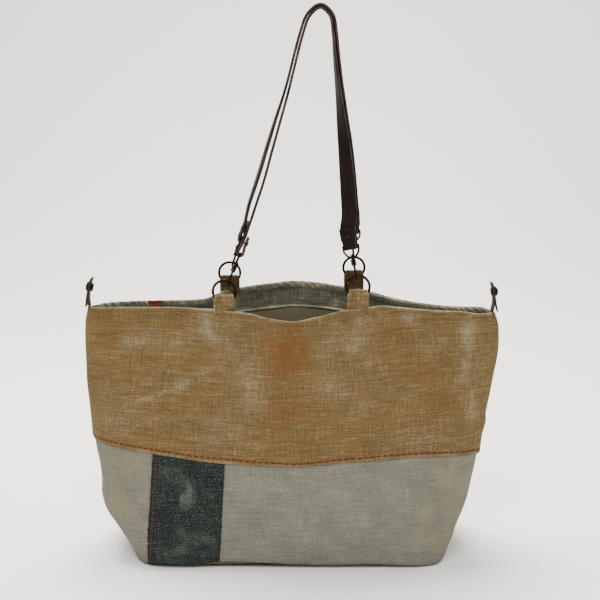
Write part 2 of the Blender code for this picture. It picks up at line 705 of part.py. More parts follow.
def turned(profile, sides):
    """A closed turned mesh about local Z, from a profile of radius and height."""
    lathe = bmesh.new()
    rings = []
    for radius, height in profile:
        if radius == 0.0:
            rings.append([lathe.verts.new((0.0, 0.0, height))])
            continue
        angles = [2 * math.pi * (step + 0.3) / sides for step in range(sides)]
        rings.append([lathe.verts.new((radius * math.cos(a), radius * math.sin(a), height))
                      for a in angles])
    for low, high in zip(rings, rings[1:]):
        for i in range(sides):
            j = (i + 1) % sides
            if len(low) == 1:
                lathe.faces.new((low[0], high[i], high[j]))
            elif len(high) == 1:
                lathe.faces.new((low[i], low[j], high[0]))
            else:
                lathe.faces.new((low[i], low[j], high[j], high[i]))
    bmesh.ops.recalc_face_normals(lathe, faces=lathe.faces)
    mesh = bpy.data.meshes.new("turned")
    lathe.to_mesh(mesh)
    lathe.free()
    return mesh


def block(size, centre):
    """A mesh box about a local centre."""
    brick = bmesh.new()
    bmesh.ops.create_cube(brick, size=1.0)
    bmesh.ops.scale(brick, vec=size, verts=brick.verts)
    bmesh.ops.translate(brick, vec=centre, verts=brick.verts)
    mesh = bpy.data.meshes.new("brick")
    brick.to_mesh(mesh)
    brick.free()
    return mesh


def cut_or_join(target, mesh, operation):
    """One exact Boolean of a mesh in the target's own frame."""
    tool = add_object(f"{target.name}_tool", mesh, None, cutters)
    tool.matrix_world = target.matrix_world
    tool.hide_render = True
    tool.display_type = "WIRE"
    step = target.modifiers.new(operation.lower(), "BOOLEAN")
    step.operation = operation
    step.solver = "EXACT"
    step.object = tool


def rings_and_loops(corners):
    for corner, place in corners:
        name = corner["name"]
        bpy.ops.mesh.primitive_torus_add(
            major_radius=RING_RADIUS, minor_radius=RING_WIRE_RADIUS, major_segments=18,
            minor_segments=6, location=place["ring"], rotation=(math.pi / 2, 0.0, 0.0))
        ring = bpy.context.object
        ring.name = f"ring_{name}"
        for holder in list(ring.users_collection):
            holder.objects.unlink(ring)
        handbag.objects.link(ring)
        ring.data.shade_smooth()
        ring.data.materials.append(BRONZE)
        loop_round_ring(name, place)


def loop_round_ring(name, place):
    """A folded linen strip that stands on the rim and passes through the ring."""
    hug = RING_WIRE_RADIUS + METAL_GAP + LOOP_THICKNESS / 2
    foot = (LOOP_THICKNESS + SEAM_GAP * 2) / 2
    centre = place["ring"]
    top = centre.z - LOOP_FOLD_BELOW_RING - LOOP_THICKNESS / 2
    spring = top - hug
    base = place["rim"] + SEAM_GAP
    path = [(centre.x, centre.y - foot, base), (centre.x, centre.y - foot, base + 0.0015),
            (centre.x, centre.y - hug, (base + spring) / 2 + 0.001)]
    for step in range(7):
        angle = math.pi * step / 6
        path.append((centre.x, centre.y - hug * math.cos(angle), spring + hug * math.sin(angle)))
    path += [(x, 2 * centre.y - y, z) for x, y, z in reversed(path[:3])]
    path = np.array(path)
    rise = np.clip((path[:, 2] - (spring - 0.002)) / (top - spring + 0.002), 0.0, 1.0)
    widths = LOOP_WIDTH + (LOOP_TOP_WIDTH - LOOP_WIDTH) * rise
    sideways = np.tile([1.0, 0.0, 0.0], (len(path), 1))
    ribbon(f"loop_{name}", path, sideways, widths, LOOP_THICKNESS, TAN_LINEN)


def arc(centre, radius, start, end, steps):
    """Points on an arc in a local Y-Z plane, angles in degrees from +Y."""
    return [(0.0, centre[0] + radius * math.cos(math.radians(a)),
             centre[1] + radius * math.sin(math.radians(a)))
            for a in np.linspace(start, end, steps)]


def snap_hook(corner, place):
    """The hook body: spine, bend and nose of round bar, forked head and swivel post."""
    name = corner["name"]
    collar_top = SWIVEL_HEIGHT + COLLAR_HEIGHT
    head_y = -HOOK_BEND_RADIUS + 0.0012
    points = [(0.0, -HOOK_BEND_RADIUS, HOOK_NOSE_HEIGHT)]
    points += arc((0.0, HOOK_BEND_RADIUS), HOOK_BEND_RADIUS, 180, 360, 7)
    points += [(0.0, HOOK_BEND_RADIUS, 0.0125), (0.0, HOOK_BEND_RADIUS - 0.0008, 0.0160),
               (0.0, 0.0024, 0.0188), (0.0, 0.0, 0.0196)]
    mesh = wire(f"hook_{name}", points, HOOK_WIRE_RADIUS, resolution=1)
    hook = add_object(f"hook_{name}", mesh, BRONZE)
    hook.matrix_world = local_matrix(place)
    neck = 0.0186
    shoulder = SWIVEL_HEIGHT - SWIVEL_GAP
    post_top = collar_top + SWIVEL_GAP
    stem = turned([(0.0, neck), (COLLAR_RADIUS - 0.0006, neck), (COLLAR_RADIUS - 0.0006, shoulder),
                   (POST_RADIUS, shoulder), (POST_RADIUS, post_top),
                   (POST_HEAD_RADIUS, post_top),
                   (POST_HEAD_RADIUS, post_top + POST_HEAD_HEIGHT),
                   (0.0, post_top + POST_HEAD_HEIGHT)], 9)
    cut_or_join(hook, stem, "UNION")
    length = abs(head_y) + 0.0014
    cut_or_join(hook, block((HOOK_HEAD_WIDTH - 0.0010, length + 0.0016, 0.0030),
                            (0.0, -length / 2 + 0.0006, 0.0196)), "UNION")
    cut_or_join(hook, cylinder(HOOK_HEAD_RADIUS, HOOK_HEAD_WIDTH,
                               (0.0, head_y, HOOK_HEAD_HEIGHT), "X", 10), "UNION")
    slot = GATE_THICKNESS + 2 * METAL_GAP
    cut_or_join(hook, block((slot, 0.0100, 0.0075),
                            (0.0, head_y - 0.0018, HOOK_HEAD_HEIGHT - 0.0010)), "DIFFERENCE")
    cut_or_join(hook, cylinder(GATE_PIN_RADIUS + METAL_GAP, HOOK_HEAD_WIDTH * 1.5,
                               (0.0, head_y, HOOK_HEAD_HEIGHT), "X", 8), "DIFFERENCE")
    gate(name, place, head_y)
    return hook


def gate(name, place, head_y):
    """The sprung lever that closes the hook, with its pin through the forked head."""
    knuckle = HOOK_HEAD_RADIUS - 0.0012
    lever = HOOK_HEAD_HEIGHT - HOOK_NOSE_HEIGHT - METAL_GAP
    mesh = cylinder(knuckle, GATE_THICKNESS, (0.0, 0.0, 0.0), "X", 10)
    made = add_object(f"gate_{name}", mesh, BRONZE)
    frame = local_matrix(place)
    made.matrix_world = frame @ Matrix.Translation((0.0, head_y, HOOK_HEAD_HEIGHT))
    lean = math.atan2(-HOOK_BEND_RADIUS - head_y, lever)
    foot = 0.0022
    bar = block((GATE_THICKNESS, foot, lever), (0.0, -0.0004, -lever / 2))
    bar.transform(Matrix.Rotation(lean * 0.6, 4, "X"))
    cut_or_join(made, bar, "UNION")
    cut_or_join(made, cylinder(GATE_PIN_RADIUS, HOOK_HEAD_WIDTH, (0.0, 0.0, 0.0), "X", 8),
                "UNION")


def swivel_eye(corner, place, turn):
    """The eye that holds the strap: a D of round bar on a drilled collar."""
    name = corner["name"]
    half = STRAP_END_WIDTH / 2 + SWIVEL_GAP + EYE_WIRE_RADIUS
    low = SWIVEL_HEIGHT + COLLAR_HEIGHT * 0.6
    bow = [(COLLAR_RADIUS + 0.0009, low), (half * 0.70, low + 0.0024), (half * 0.93, low + 0.0056),
           (half, low + 0.0085), (half, EYE_HEIGHT - 0.0012), (half - 0.0010, EYE_HEIGHT)]
    right = [(0.0, y, z) for y, z in bow]
    left = [(0.0, -y, z) for y, z in reversed(bow)]
    inner = (0.0, COLLAR_RADIUS - 0.0008, low)
    points = [inner] + right + left + [(0.0, -inner[1], low)]
    mesh = wire(f"eye_{name}", points, EYE_WIRE_RADIUS, resolution=1)
    eye = add_object(f"eye_{name}", mesh, BRONZE)
    eye.matrix_world = local_matrix(place, turn)
    cut_or_join(eye, cylinder(COLLAR_RADIUS, COLLAR_HEIGHT,
                              (0.0, 0.0, SWIVEL_HEIGHT + COLLAR_HEIGHT / 2), sides=12), "UNION")
    cut_or_join(eye, cylinder(POST_RADIUS + SWIVEL_GAP, COLLAR_HEIGHT * 3,
                              (0.0, 0.0, SWIVEL_HEIGHT + COLLAR_HEIGHT / 2), sides=10),
                "DIFFERENCE")
    return eye


def turned_width(degrees):
    """Which way a strap's width points in plan, once turned towards the front."""
    angle = math.radians(degrees)
    return Vector((-math.sin(angle), math.cos(angle), 0.0))


def curve_through(points, count, measured):
    """Catmull-Rom curve through the points, evenly respaced by its first few columns."""
    points = np.array([points[0] * 2 - points[1]] + list(points) + [points[-1] * 2 - points[-2]])
    made = []
    for i in range(1, len(points) - 2):
        p0, p1, p2, p3 = points[i - 1:i + 3]
        for t in np.linspace(0.0, 1.0, 12, endpoint=False):
            made.append(0.5 * ((2 * p1) + (p2 - p0) * t + (2 * p0 - 5 * p1 + 4 * p2 - p3) * t ** 2
                               + (3 * p1 - p0 - 3 * p2 + p3) * t ** 3))
    made = np.array(made + [points[-2]])
    steps = np.linalg.norm(np.diff(made[:, :measured], axis=0), axis=1)
    run = np.concatenate([[0.0], np.cumsum(steps)])
    at = np.linspace(0.0, run[-1], count)
    return np.stack([np.interp(at, run, made[:, k]) for k in range(made.shape[1])], axis=1)


def strap_middle(rows, low, name):
    """The free run of one strap and its turns: the shared line, set off to its own side."""
    way = -1.0 if name == "front" else 1.0
    top = HANDLE_TOP - STRAP_THICKNESS - METAL_GAP / 2
    shared = np.stack([rows["out"] * HANDLE_RIGHT, rows["depth"] * HANDLE_HALF_DEPTH,
                       low + rows["rise"] * (top - low), rows["apart"] * STRAP_THICKNESS,
                       rows[f"{name}_turn"]], axis=1)
    shared = curve_through(shared, STRAP_STATIONS, 3)
    line = shared[:, :3] * (1.0, 0.0, 1.0)
    middle = []
    for point, tangent, (_, depth, _, apart, turn) in zip(line, np.gradient(line, axis=0), shared):
        face = Vector(tangent).normalized().cross(turned_width(turn)).normalized()
        outwards = 1.0 if tangent[2] < 0.0 else -1.0
        place = Vector(point) + face * way * (STRAP_THICKNESS + METAL_GAP) / 2
        place += Vector((way * outwards * apart, way * depth, 0.0))
        middle.append(np.array(place))
    return middle, list(shared[:, 4])


def strap_end(bar, up, aside, forward):
    """One end: the return on the inner side, the fold round the bar and the main ply."""
    aside = (aside - up * aside.dot(up)).normalized()
    face = forward.cross(aside)
    hug = EYE_WIRE_RADIUS + METAL_GAP + STRAP_THICKNESS / 2
    tight = STRAP_THICKNESS / 2 + METAL_GAP
    closing = ((0.22, 0.70), (0.45, 0.12), (0.72, 0.0), (1.0, 0.0))
    plies = {}
    for way in (-1.0, 1.0):
        plies[way] = [bar + face * way * (tight + (hug - tight) * share) + up * rise * STRAP_RETURN
                      for rise, share in closing]
    fold = [bar - face * (hug * math.cos(math.pi * step / 8)) - up
            * (hug * math.sin(math.pi * step / 8)) for step in range(9)]
    path = plies[-1.0][::-1] + fold + plies[1.0]
    return [np.array(point) for point in path], np.array(aside), face


def strap(corners, name):
    """One leather handle: main run, a fold round each eye's bar and a riveted return."""
    rows = table(ROUTE, ROUTE_COLUMNS)
    ends = {corner["end"]: place for corner, place in corners if corner["strap"] == name}
    bars = {end: place["bend"] + place["up"] * EYE_HEIGHT for end, place in ends.items()}
    turns = rows[f"{name}_turn"]
    runs = {"left": strap_end(bars["left"], ends["left"]["up"], turned_width(turns[0]),
                              ends["left"]["up"]),
            "right": strap_end(bars["right"], ends["right"]["up"], turned_width(turns[-1]),
                               -ends["right"]["up"])}
    low = (bars["left"].z + bars["right"].z) / 2
    middle, turns = strap_middle(rows, low, name)
    main = []
    turn = []
    for end, inner in (("left", middle[:STRAP_JOIN]), ("right", middle[:-STRAP_JOIN - 1:-1])):
        joined = curve_through([runs[end][0][-2], runs[end][0][-1], inner[0], inner[-1]], 40, 3)
        near = int(np.argmin(np.linalg.norm(joined - runs[end][0][-1], axis=1)))
        far = int(np.argmin(np.linalg.norm(joined - inner[0], axis=1)))
        steps = np.linspace(near, far, STRAP_JOIN + 2).round().astype(int)[:-1]
        main.append([joined[step] for step in steps])
        turn.append([turns[0 if end == "left" else -1]] * len(steps))
    main = main[0] + middle + main[1][::-1]
    turn = turn[0] + turns + turn[1]
    asides = [np.array(turned_width(degrees)) for degrees in turn]
    asides[0] = runs["left"][1]
    asides[-1] = runs["right"][1]
    left_run = runs["left"][0][:-1]
    right_run = runs["right"][0][:-1][::-1]
    path = np.array(left_run + list(main) + right_run)
    sideways = [runs["left"][1]] * len(left_run) + asides + [runs["right"][1]] * len(right_run)
    widths = []
    for point in path:
        near = min((Vector(point) - bar).length for bar in bars.values())
        share = min(max((near - STRAP_NOTCH * 0.55) / (STRAP_NOTCH * 0.45), 0.0), 1.0)
        widths.append(STRAP_END_WIDTH + (STRAP_WIDTH - STRAP_END_WIDTH) * share)
    made = ribbon(f"strap_{name}", path, sideways, widths, STRAP_THICKNESS, LEATHER)
    for end in ("left", "right"):
        rivet(made, f"{name}_{end}", bars[end], ends[end]["up"], runs[end][2])


def rivet(strap_object, name, bar, up, face):
    """A small tubular rivet through both plies of the strap's end."""
    reach = STRAP_THICKNESS + METAL_GAP
    aside = up.cross(face)
    frame = Matrix((aside, up, face)).transposed().to_4x4()
    frame.translation = bar + up * RIVET_RISE
    hole = cylinder(RIVET_RADIUS + METAL_GAP, reach * 3, (0.0, 0.0, 0.0), sides=10)
    hole.transform(frame)
    cut_or_join(strap_object, hole, "DIFFERENCE")
    seat = reach + METAL_GAP
    shank = cylinder(RIVET_RADIUS, 2 * seat + RIVET_HEAD_HEIGHT, (0.0, 0.0, 0.0), sides=10)
    made = add_object(f"rivet_{name}", shank, BRONZE)
    made.matrix_world = frame
    for way in (-1.0, 1.0):
        cut_or_join(made, cylinder(RIVET_HEAD_RADIUS, RIVET_HEAD_HEIGHT,
                                   (0.0, 0.0, way * (seat + RIVET_HEAD_HEIGHT / 2)), sides=12),
                    "UNION")


def side_tab(end):
    """A leather tab standing on a side seam, split astride the rim, with its snap."""
    way = -1.0 if end == "left" else 1.0
    across = 0.0 if end == "left" else 1.0
    seam = surface("front", 0.0, np.array([across]), np.array([1.0]))[0]
    footing = np.linspace(across, across - way * TAB_FOOTING, 4)
    base = max(float(np.max(rim_height(side, footing))) for side in ("front", "back")) + SEAM_GAP
    lean = {"left": 0.22, "right": 0.16}[end]
    spread = {"left": 0.0010, "right": 0.0022}[end]
    half = TAB_THICKNESS / 2
    crotch = TAB_RISE * 0.38
    bent = lean * TAB_RISE * (TAB_STRAIGHT - 0.38)
    tip = bent + lean * TAB_RISE * (1.0 - TAB_STRAIGHT) * 2.0
    profile = [(-half - spread, 0.0), (-0.0004 - spread * 0.3, 0.0), (0.0, crotch * 0.8),
               (spread + 0.0009, 0.0), (spread + half + 0.0006, 0.0),
               (half, crotch), (half - bent, TAB_RISE * TAB_STRAIGHT), (half - tip, TAB_RISE),
               (-half - tip, TAB_RISE), (-half - bent, TAB_RISE * TAB_STRAIGHT), (-half, crotch)]
    outline = bpy.data.curves.new(f"side_tab_{end}", "CURVE")
    outline.dimensions = "2D"
    outline.fill_mode = "BOTH"
    outline.extrude = TAB_WIDTH / 2
    spline = outline.splines.new("POLY")
    spline.points.add(len(profile) - 1)
    for point, (x, z) in zip(spline.points, profile):
        point.co = (x, z, 0.0, 1.0)
    spline.use_cyclic_u = True
    holder = bpy.data.objects.new("outline", outline)
    handbag.objects.link(holder)
    bpy.context.view_layer.update()
    shown = holder.evaluated_get(bpy.context.evaluated_depsgraph_get())
    mesh = bpy.data.meshes.new_from_object(shown)
    bpy.data.objects.remove(holder, do_unlink=True)
    weld = bmesh.new()
    weld.from_mesh(mesh)
    bmesh.ops.remove_doubles(weld, verts=weld.verts, dist=1e-6)
    bmesh.ops.recalc_face_normals(weld, faces=weld.faces)
    weld.to_mesh(mesh)
    weld.free()
    tab = add_object(f"side_tab_{end}", mesh, LEATHER)
    outwards = Vector((way, 0.0, 0.0))
    upward = Vector((0.0, 0.0, 1.0))
    frame = Matrix((outwards, upward, outwards.cross(upward))).transposed().to_4x4()
    inside = half + spread
    frame.translation = (seam[0] - way * inside * 0.35, 0.0, base)
    tab.matrix_world = frame
    middle = -lean * (SNAP_RISE - crotch)
    slope = math.atan(lean)
    place = Matrix.Translation((middle, SNAP_RISE, 0.0)) @ Matrix.Rotation(slope, 4, "Z")
    hole = cylinder(SNAP_POST_RADIUS + METAL_GAP, TAB_THICKNESS * 4, (0.0, 0.0, 0.0), "X", 10)
    hole.transform(place)
    cut_or_join(tab, hole, "DIFFERENCE")
    snap(end, frame @ place)


def snap(end, frame):
    """The snap on a tab: a post through the leather, a cap outside and a seat inside."""
    seat = TAB_THICKNESS / 2 + METAL_GAP
    slack = 0.0003
    cap = {"left": 0.0024, "right": 0.0036}[end]
    back = {"left": 0.0022, "right": 0.0008}[end]
    made = add_object(f"snap_{end}", cylinder(SNAP_POST_RADIUS, 2 * seat + 2 * slack + 0.0010,
                                              (0.0, 0.0, 0.0), "X", 10), BRONZE)
    made.matrix_world = frame
    cut_or_join(made, cylinder(SNAP_RADIUS, cap, (seat + slack + cap / 2, 0.0, 0.0), "X", 14),
                "UNION")
    cut_or_join(made, cylinder(SNAP_RADIUS * 0.85, back,
                               (-seat - slack - back / 2, 0.0, 0.0), "X", 14), "UNION")


outer_panels()
base_panel()
facing()
lining()
corner_places = []
for corner_row in CORNERS:
    named = dict(zip(CORNER_COLUMNS, corner_row))
    corner_places.append((named, corner_frame(named)))
rings_and_loops(corner_places)
for named, spot in corner_places:
    row = dict(zip(ROUTE_COLUMNS, ROUTE[0 if named["end"] == "left" else -1]))
    way_round = math.radians(row[f"{named['side']}_turn"])
    snap_hook(named, spot)
    swivel_eye(named, spot, way_round)
strap(corner_places, "front")
strap(corner_places, "back")
side_tab("left")
side_tab("right")
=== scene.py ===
import json
import math
import random
import bmesh
import bpy
import numpy as np
from mathutils import Matrix, Vector


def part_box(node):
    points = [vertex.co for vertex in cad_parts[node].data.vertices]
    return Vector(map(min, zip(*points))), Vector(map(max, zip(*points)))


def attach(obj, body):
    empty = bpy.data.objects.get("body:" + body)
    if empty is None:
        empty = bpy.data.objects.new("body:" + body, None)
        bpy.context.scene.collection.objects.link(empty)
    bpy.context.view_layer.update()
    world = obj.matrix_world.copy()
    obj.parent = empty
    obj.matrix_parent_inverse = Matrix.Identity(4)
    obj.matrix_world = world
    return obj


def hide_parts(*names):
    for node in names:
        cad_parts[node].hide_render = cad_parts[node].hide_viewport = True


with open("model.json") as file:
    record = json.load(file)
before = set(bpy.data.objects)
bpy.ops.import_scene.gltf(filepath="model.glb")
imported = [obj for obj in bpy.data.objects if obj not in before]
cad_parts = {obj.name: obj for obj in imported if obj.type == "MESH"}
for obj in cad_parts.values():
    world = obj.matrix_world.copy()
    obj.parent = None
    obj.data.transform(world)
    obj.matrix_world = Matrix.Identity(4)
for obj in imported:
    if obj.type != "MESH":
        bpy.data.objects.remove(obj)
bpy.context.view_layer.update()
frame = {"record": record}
random.seed(11)

# The camera stands 1.34 m from the bag, a little above its middle, and looks 12 degrees
# down on the front, as the photograph was taken.
VIEW_ANGLE = 29.4
VIEW_PITCH = 12.0
VIEW_DISTANCE = 1.34
lens = bpy.data.cameras.new("view_from_front")
lens.sensor_fit = "HORIZONTAL"
lens.lens = lens.sensor_width / 2 / math.tan(math.radians(VIEW_ANGLE / 2))
lens.clip_start = 0.05
viewer = bpy.data.objects.new("view_from_front", lens)
viewer.location = (0.0082, -VIEW_DISTANCE * math.cos(math.radians(VIEW_PITCH)),
                   0.30 + VIEW_DISTANCE * math.sin(math.radians(VIEW_PITCH)))
viewer.rotation_euler = (math.radians(90 - VIEW_PITCH), 0.0, 0.0)
bpy.context.scene.collection.objects.link(viewer)
bpy.context.scene.camera = viewer

# The sewn body. Every cloth piece, outside and inside, lies on one form: a soft boxed base,
# upright walls that belly out a little, and a mouth pinched shut towards the side seams.
# The sections go up the body; lengths in them are shares of the half width and half depth.
HALF_WIDTH = 0.2445
HALF_DEPTH = 0.084
SEAM_HEIGHT = 0.292
MOUTH_HALF_DEPTH = 0.070
STATIONS = 401
LEVELS = 141
SECTION_COLUMNS = ("height", "left", "right", "depth", "boxy", "exponent")
SECTIONS = (
    (0.000, 0.728, 0.716, 0.995, 1.00, 8.0),
    (0.018, 0.756, 0.732, 1.006, 1.00, 7.0),
    (0.070, 0.790, 0.752, 1.004, 1.00, 6.0),
    (0.130, 0.846, 0.786, 1.002, 0.98, 5.0),
    (0.210, 0.918, 0.848, 1.000, 0.94, 4.0),
    (0.315, 0.945, 0.887, 0.985, 0.86, 3.4),
    (0.455, 0.975, 0.919, 0.950, 0.74, 3.0),
    (0.593, 0.991, 0.945, 0.905, 0.58, 2.7),
    (0.728, 1.004, 0.972, 0.868, 0.40, 2.5),
    (0.862, 1.004, 0.994, 0.845, 0.20, 2.3),
    (0.940, 0.999, 0.990, 0.838, 0.07, 2.2),
    (1.000, 0.985, 0.970, 0.833, 0.00, 2.2),
)
MOUTH = ((0.00, 1.000), (0.12, 0.965), (0.25, 0.850), (0.34, 0.730), (0.43, 0.520), (0.52, 0.370),
         (0.63, 0.285), (0.78, 0.225), (0.90, 0.165), (0.97, 0.085), (1.00, 0.000))
RIM = (
    (0.000, 0.0000, 0.0000), (0.050, 0.0050, 0.0090), (0.160, 0.0120, 0.0125),
    (0.270, 0.0175, 0.0080), (0.330, 0.0240, 0.0310), (0.400, 0.0200, 0.0440),
    (0.450, 0.0030, 0.0510), (0.500, -0.0070, 0.0580), (0.560, 0.0110, 0.0540),
    (0.630, 0.0310, 0.0440), (0.700, 0.0320, 0.0330), (0.770, 0.0150, 0.0140),
    (0.840, -0.0010, -0.0010), (0.910, -0.0090, -0.0095), (0.960, -0.0220, -0.0080),
    (1.000, -0.0220, -0.0220),
)
HEM = (
    (0.00, 0.462, 0.462), (0.08, 0.464, 0.458), (0.16, 0.454, 0.448), (0.34, 0.429, 0.432),
    (0.42, 0.424, 0.428), (0.50, 0.422, 0.426), (0.62, 0.434, 0.430), (0.76, 0.438, 0.436), (0.88, 0.426, 0.430),
    (1.00, 0.402, 0.402),
)
FOLD_COLUMNS = ("side", "across_1", "up_1", "across_2", "up_2", "spread", "stand")
FOLDS = (
    ("front", 0.885, 0.800, 0.955, 0.560, 0.055, 0.040),
    ("front", 0.955, 0.560, 0.950, 0.440, 0.045, 0.035),
    ("front", 0.880, 0.400, 0.905, 0.250, 0.060, -0.035),
    ("front", 0.860, 0.230, 0.940, 0.060, 0.070, 0.040),
    ("front", 0.070, 0.390, 0.140, 0.300, 0.060, -0.035),
    ("front", 0.050, 0.240, 0.170, 0.090, 0.070, 0.035),
    ("front", 0.080, 0.580, 0.280, 0.740, 0.070, 0.022),
    ("front", 0.330, 0.060, 0.420, 0.200, 0.090, -0.030),
    ("front", 0.480, 0.860, 0.520, 0.560, 0.180, 0.040),
    ("back", 0.200, 0.300, 0.330, 0.120, 0.100, 0.035),
    ("back", 0.680, 0.350, 0.820, 0.150, 0.100, -0.035),
    ("back", 0.300, 0.820, 0.450, 0.600, 0.120, 0.035),
)


def smooth(at, xs, ys):
    """Monotone cubic through the points of two columns."""
    slopes = np.diff(ys) / np.diff(xs)
    tangents = np.zeros(len(xs))
    tangents[0], tangents[-1] = slopes[0], slopes[-1]
    for i in range(1, len(xs) - 1):
        if slopes[i - 1] * slopes[i] > 0:
            tangents[i] = 2 * slopes[i - 1] * slopes[i] / (slopes[i - 1] + slopes[i])
    at = np.clip(np.asarray(at, float), xs[0], xs[-1])
    i = np.clip(np.searchsorted(xs, at, side="right") - 1, 0, len(xs) - 2)
    h = xs[i + 1] - xs[i]
    t = (at - xs[i]) / h
    return ((2 * t ** 3 - 3 * t ** 2 + 1) * ys[i] + (t ** 3 - 2 * t ** 2 + t) * h * tangents[i]
            + (3 * t ** 2 - 2 * t ** 3) * ys[i + 1] + (t ** 3 - t ** 2) * h * tangents[i + 1])


def by_column(rows, columns):
    return {name: np.array([row[k] for row in rows]) for k, name in enumerate(columns)}


sections = by_column(SECTIONS, SECTION_COLUMNS)
mouth = by_column(MOUTH, ("out", "depth"))
rim = by_column(RIM, ("across", "front", "back"))
hem = by_column(HEM, ("across", "front", "back"))


def rim_height(side, across):
    return SEAM_HEIGHT * (1.0 + smooth(across, rim["across"], rim[side]))


def hem_height(side, across):
    return SEAM_HEIGHT * smooth(across, hem["across"], hem[side])


def spaced(points, count):
    run = np.concatenate([[0.0], np.cumsum(np.linalg.norm(np.diff(points, axis=0), axis=1))])
    at = np.linspace(0.0, run[-1], count)
    return np.stack([np.interp(at, run, points[:, k]) for k in range(points.shape[1])], axis=1)


def plan(share):
    """Half plan of the body at a share of its height, from the left seam to the right."""
    value = {name: smooth(share, sections["height"], sections[name])
             for name in SECTION_COLUMNS[1:]}
    angle = np.linspace(0.0, math.pi, 1201)
    power = 2.0 / value["exponent"]
    box = np.stack([-np.sign(np.cos(angle)) * np.abs(np.cos(angle)) ** power * HALF_WIDTH,
                    np.abs(np.sin(angle)) ** power * HALF_DEPTH], axis=1)
    box = spaced(box, STATIONS)
    lens_x = np.linspace(-1.0, 1.0, 1201)
    lens_y = smooth(np.abs(lens_x), mouth["out"], mouth["depth"])
    opening = spaced(np.stack([lens_x * HALF_WIDTH, lens_y * MOUTH_HALF_DEPTH], axis=1), STATIONS)
    x = value["boxy"] * box[:, 0] + (1.0 - value["boxy"]) * opening[:, 0]
    y = value["boxy"] * box[:, 1] * value["depth"] + (1.0 - value["boxy"]) * opening[:, 1]
    return np.where(x < 0, x * value["left"], x * value["right"]), y


def soft_folds(side, across, up):
    relief = np.zeros_like(across)
    for row in FOLDS:
        fold = dict(zip(FOLD_COLUMNS, row))
        if fold["side"] != side:
            continue
        start = np.array([fold["across_1"] * 2 * HALF_WIDTH, fold["up_1"] * SEAM_HEIGHT])
        end = np.array([fold["across_2"] * 2 * HALF_WIDTH, fold["up_2"] * SEAM_HEIGHT])
        line = end - start
        px = across * 2 * HALF_WIDTH - start[0]
        pz = up * SEAM_HEIGHT - start[1]
        along = np.clip((px * line[0] + pz * line[1]) / (line @ line), 0.0, 1.0)
        away = np.hypot(px - along * line[0], pz - along * line[1])
        relief += fold["stand"] * HALF_DEPTH * np.exp(-(away / (fold["spread"] * HALF_WIDTH)) ** 2)
    calm = np.clip(np.minimum(up, 1.0 - up) / 0.08, 0.0, 1.0)
    edge = np.clip(np.minimum(across, 1.0 - across) / 0.04, 0.0, 1.0)
    return relief * calm * edge


def body_half(side):
    """Points and outward normals of one side's outer cloth, level by level."""
    sign = -1.0 if side == "front" else 1.0
    across = np.linspace(0.0, 1.0, STATIONS)
    levels = np.linspace(0.0, 1.0, LEVELS) ** 1.25
    points = np.zeros((LEVELS, STATIONS, 3))
    for row, share in enumerate(levels):
        x, y = plan(share)
        points[row] = np.stack([x, sign * y, share * rim_height(side, across)], axis=1)
    for _ in range(2):
        outward = -np.cross(np.gradient(points, axis=1), np.gradient(points, axis=0)) * sign
        outward /= np.linalg.norm(outward, axis=2, keepdims=True)
        if _ == 0:
            grid_across, grid_up = np.meshgrid(across, levels)
            points = points + outward * soft_folds(side, grid_across, grid_up)[..., None]
    run = np.linalg.norm(np.diff(points, axis=1), axis=2).sum(axis=1)
    return levels, points, outward, run


BODY = {side: body_half(side) for side in ("front", "back")}


def on_body(side, across, height, out=0.0):
    """Points over one side: across from seam to seam and height from base to rim, both as
    shares, and out in metres off the outer cloth (inside it, if negative)."""
    levels, points, outward, _ = BODY[side]
    across, height, out = np.broadcast_arrays(np.asarray(across, float), height, out)
    over = np.maximum(height - 1.0, 0.0) * SEAM_HEIGHT
    share = np.clip(height, 0.0, 1.0)
    row = np.clip(np.searchsorted(levels, share, side="right") - 1, 0, LEVELS - 2)
    up = ((share - levels[row]) / (levels[row + 1] - levels[row]))[..., None]
    place = np.clip(across, 0.0, 1.0) * (STATIONS - 1)
    column = np.clip(place.astype(int), 0, STATIONS - 2)
    step = (place - column)[..., None]
    found = []
    for grid in (points, outward):
        low = grid[row, column] * (1 - step) + grid[row, column + 1] * step
        high = grid[row + 1, column] * (1 - step) + grid[row + 1, column + 1] * step
        found.append(low * (1 - up) + high * up)
    place = found[0] + found[1] * out[..., None]
    place[..., 2] = np.maximum(place[..., 2], 0.0) + over
    sign = -1.0 if side == "front" else 1.0
    place[..., 1] = sign * np.maximum(place[..., 1] * sign, 0.0002)
    return place


def cloth_run(side, across, height):
    """Distance along the cloth from the middle of a side, in metres."""
    levels, _, _, run = BODY[side]
    return (np.asarray(across) - 0.5) * np.interp(height, levels, run)


def value_noise(x, y, seed):
    """Smooth noise from -1 to 1 with one bump a unit, the same every run."""
    def lattice(i, j):
        mixed = np.sin(i * 127.1 + j * 311.7 + seed * 74.7) * 43758.5453
        return (mixed - np.floor(mixed)) * 2.0 - 1.0
    i, j = np.floor(x), np.floor(y)
    fx, fy = x - i, y - j
    fx, fy = fx * fx * (3 - 2 * fx), fy * fy * (3 - 2 * fy)
    low = lattice(i, j) * (1 - fx) + lattice(i + 1, j) * fx
    high = lattice(i, j + 1) * (1 - fx) + lattice(i + 1, j + 1) * fx
    return low * (1 - fy) + high * fy


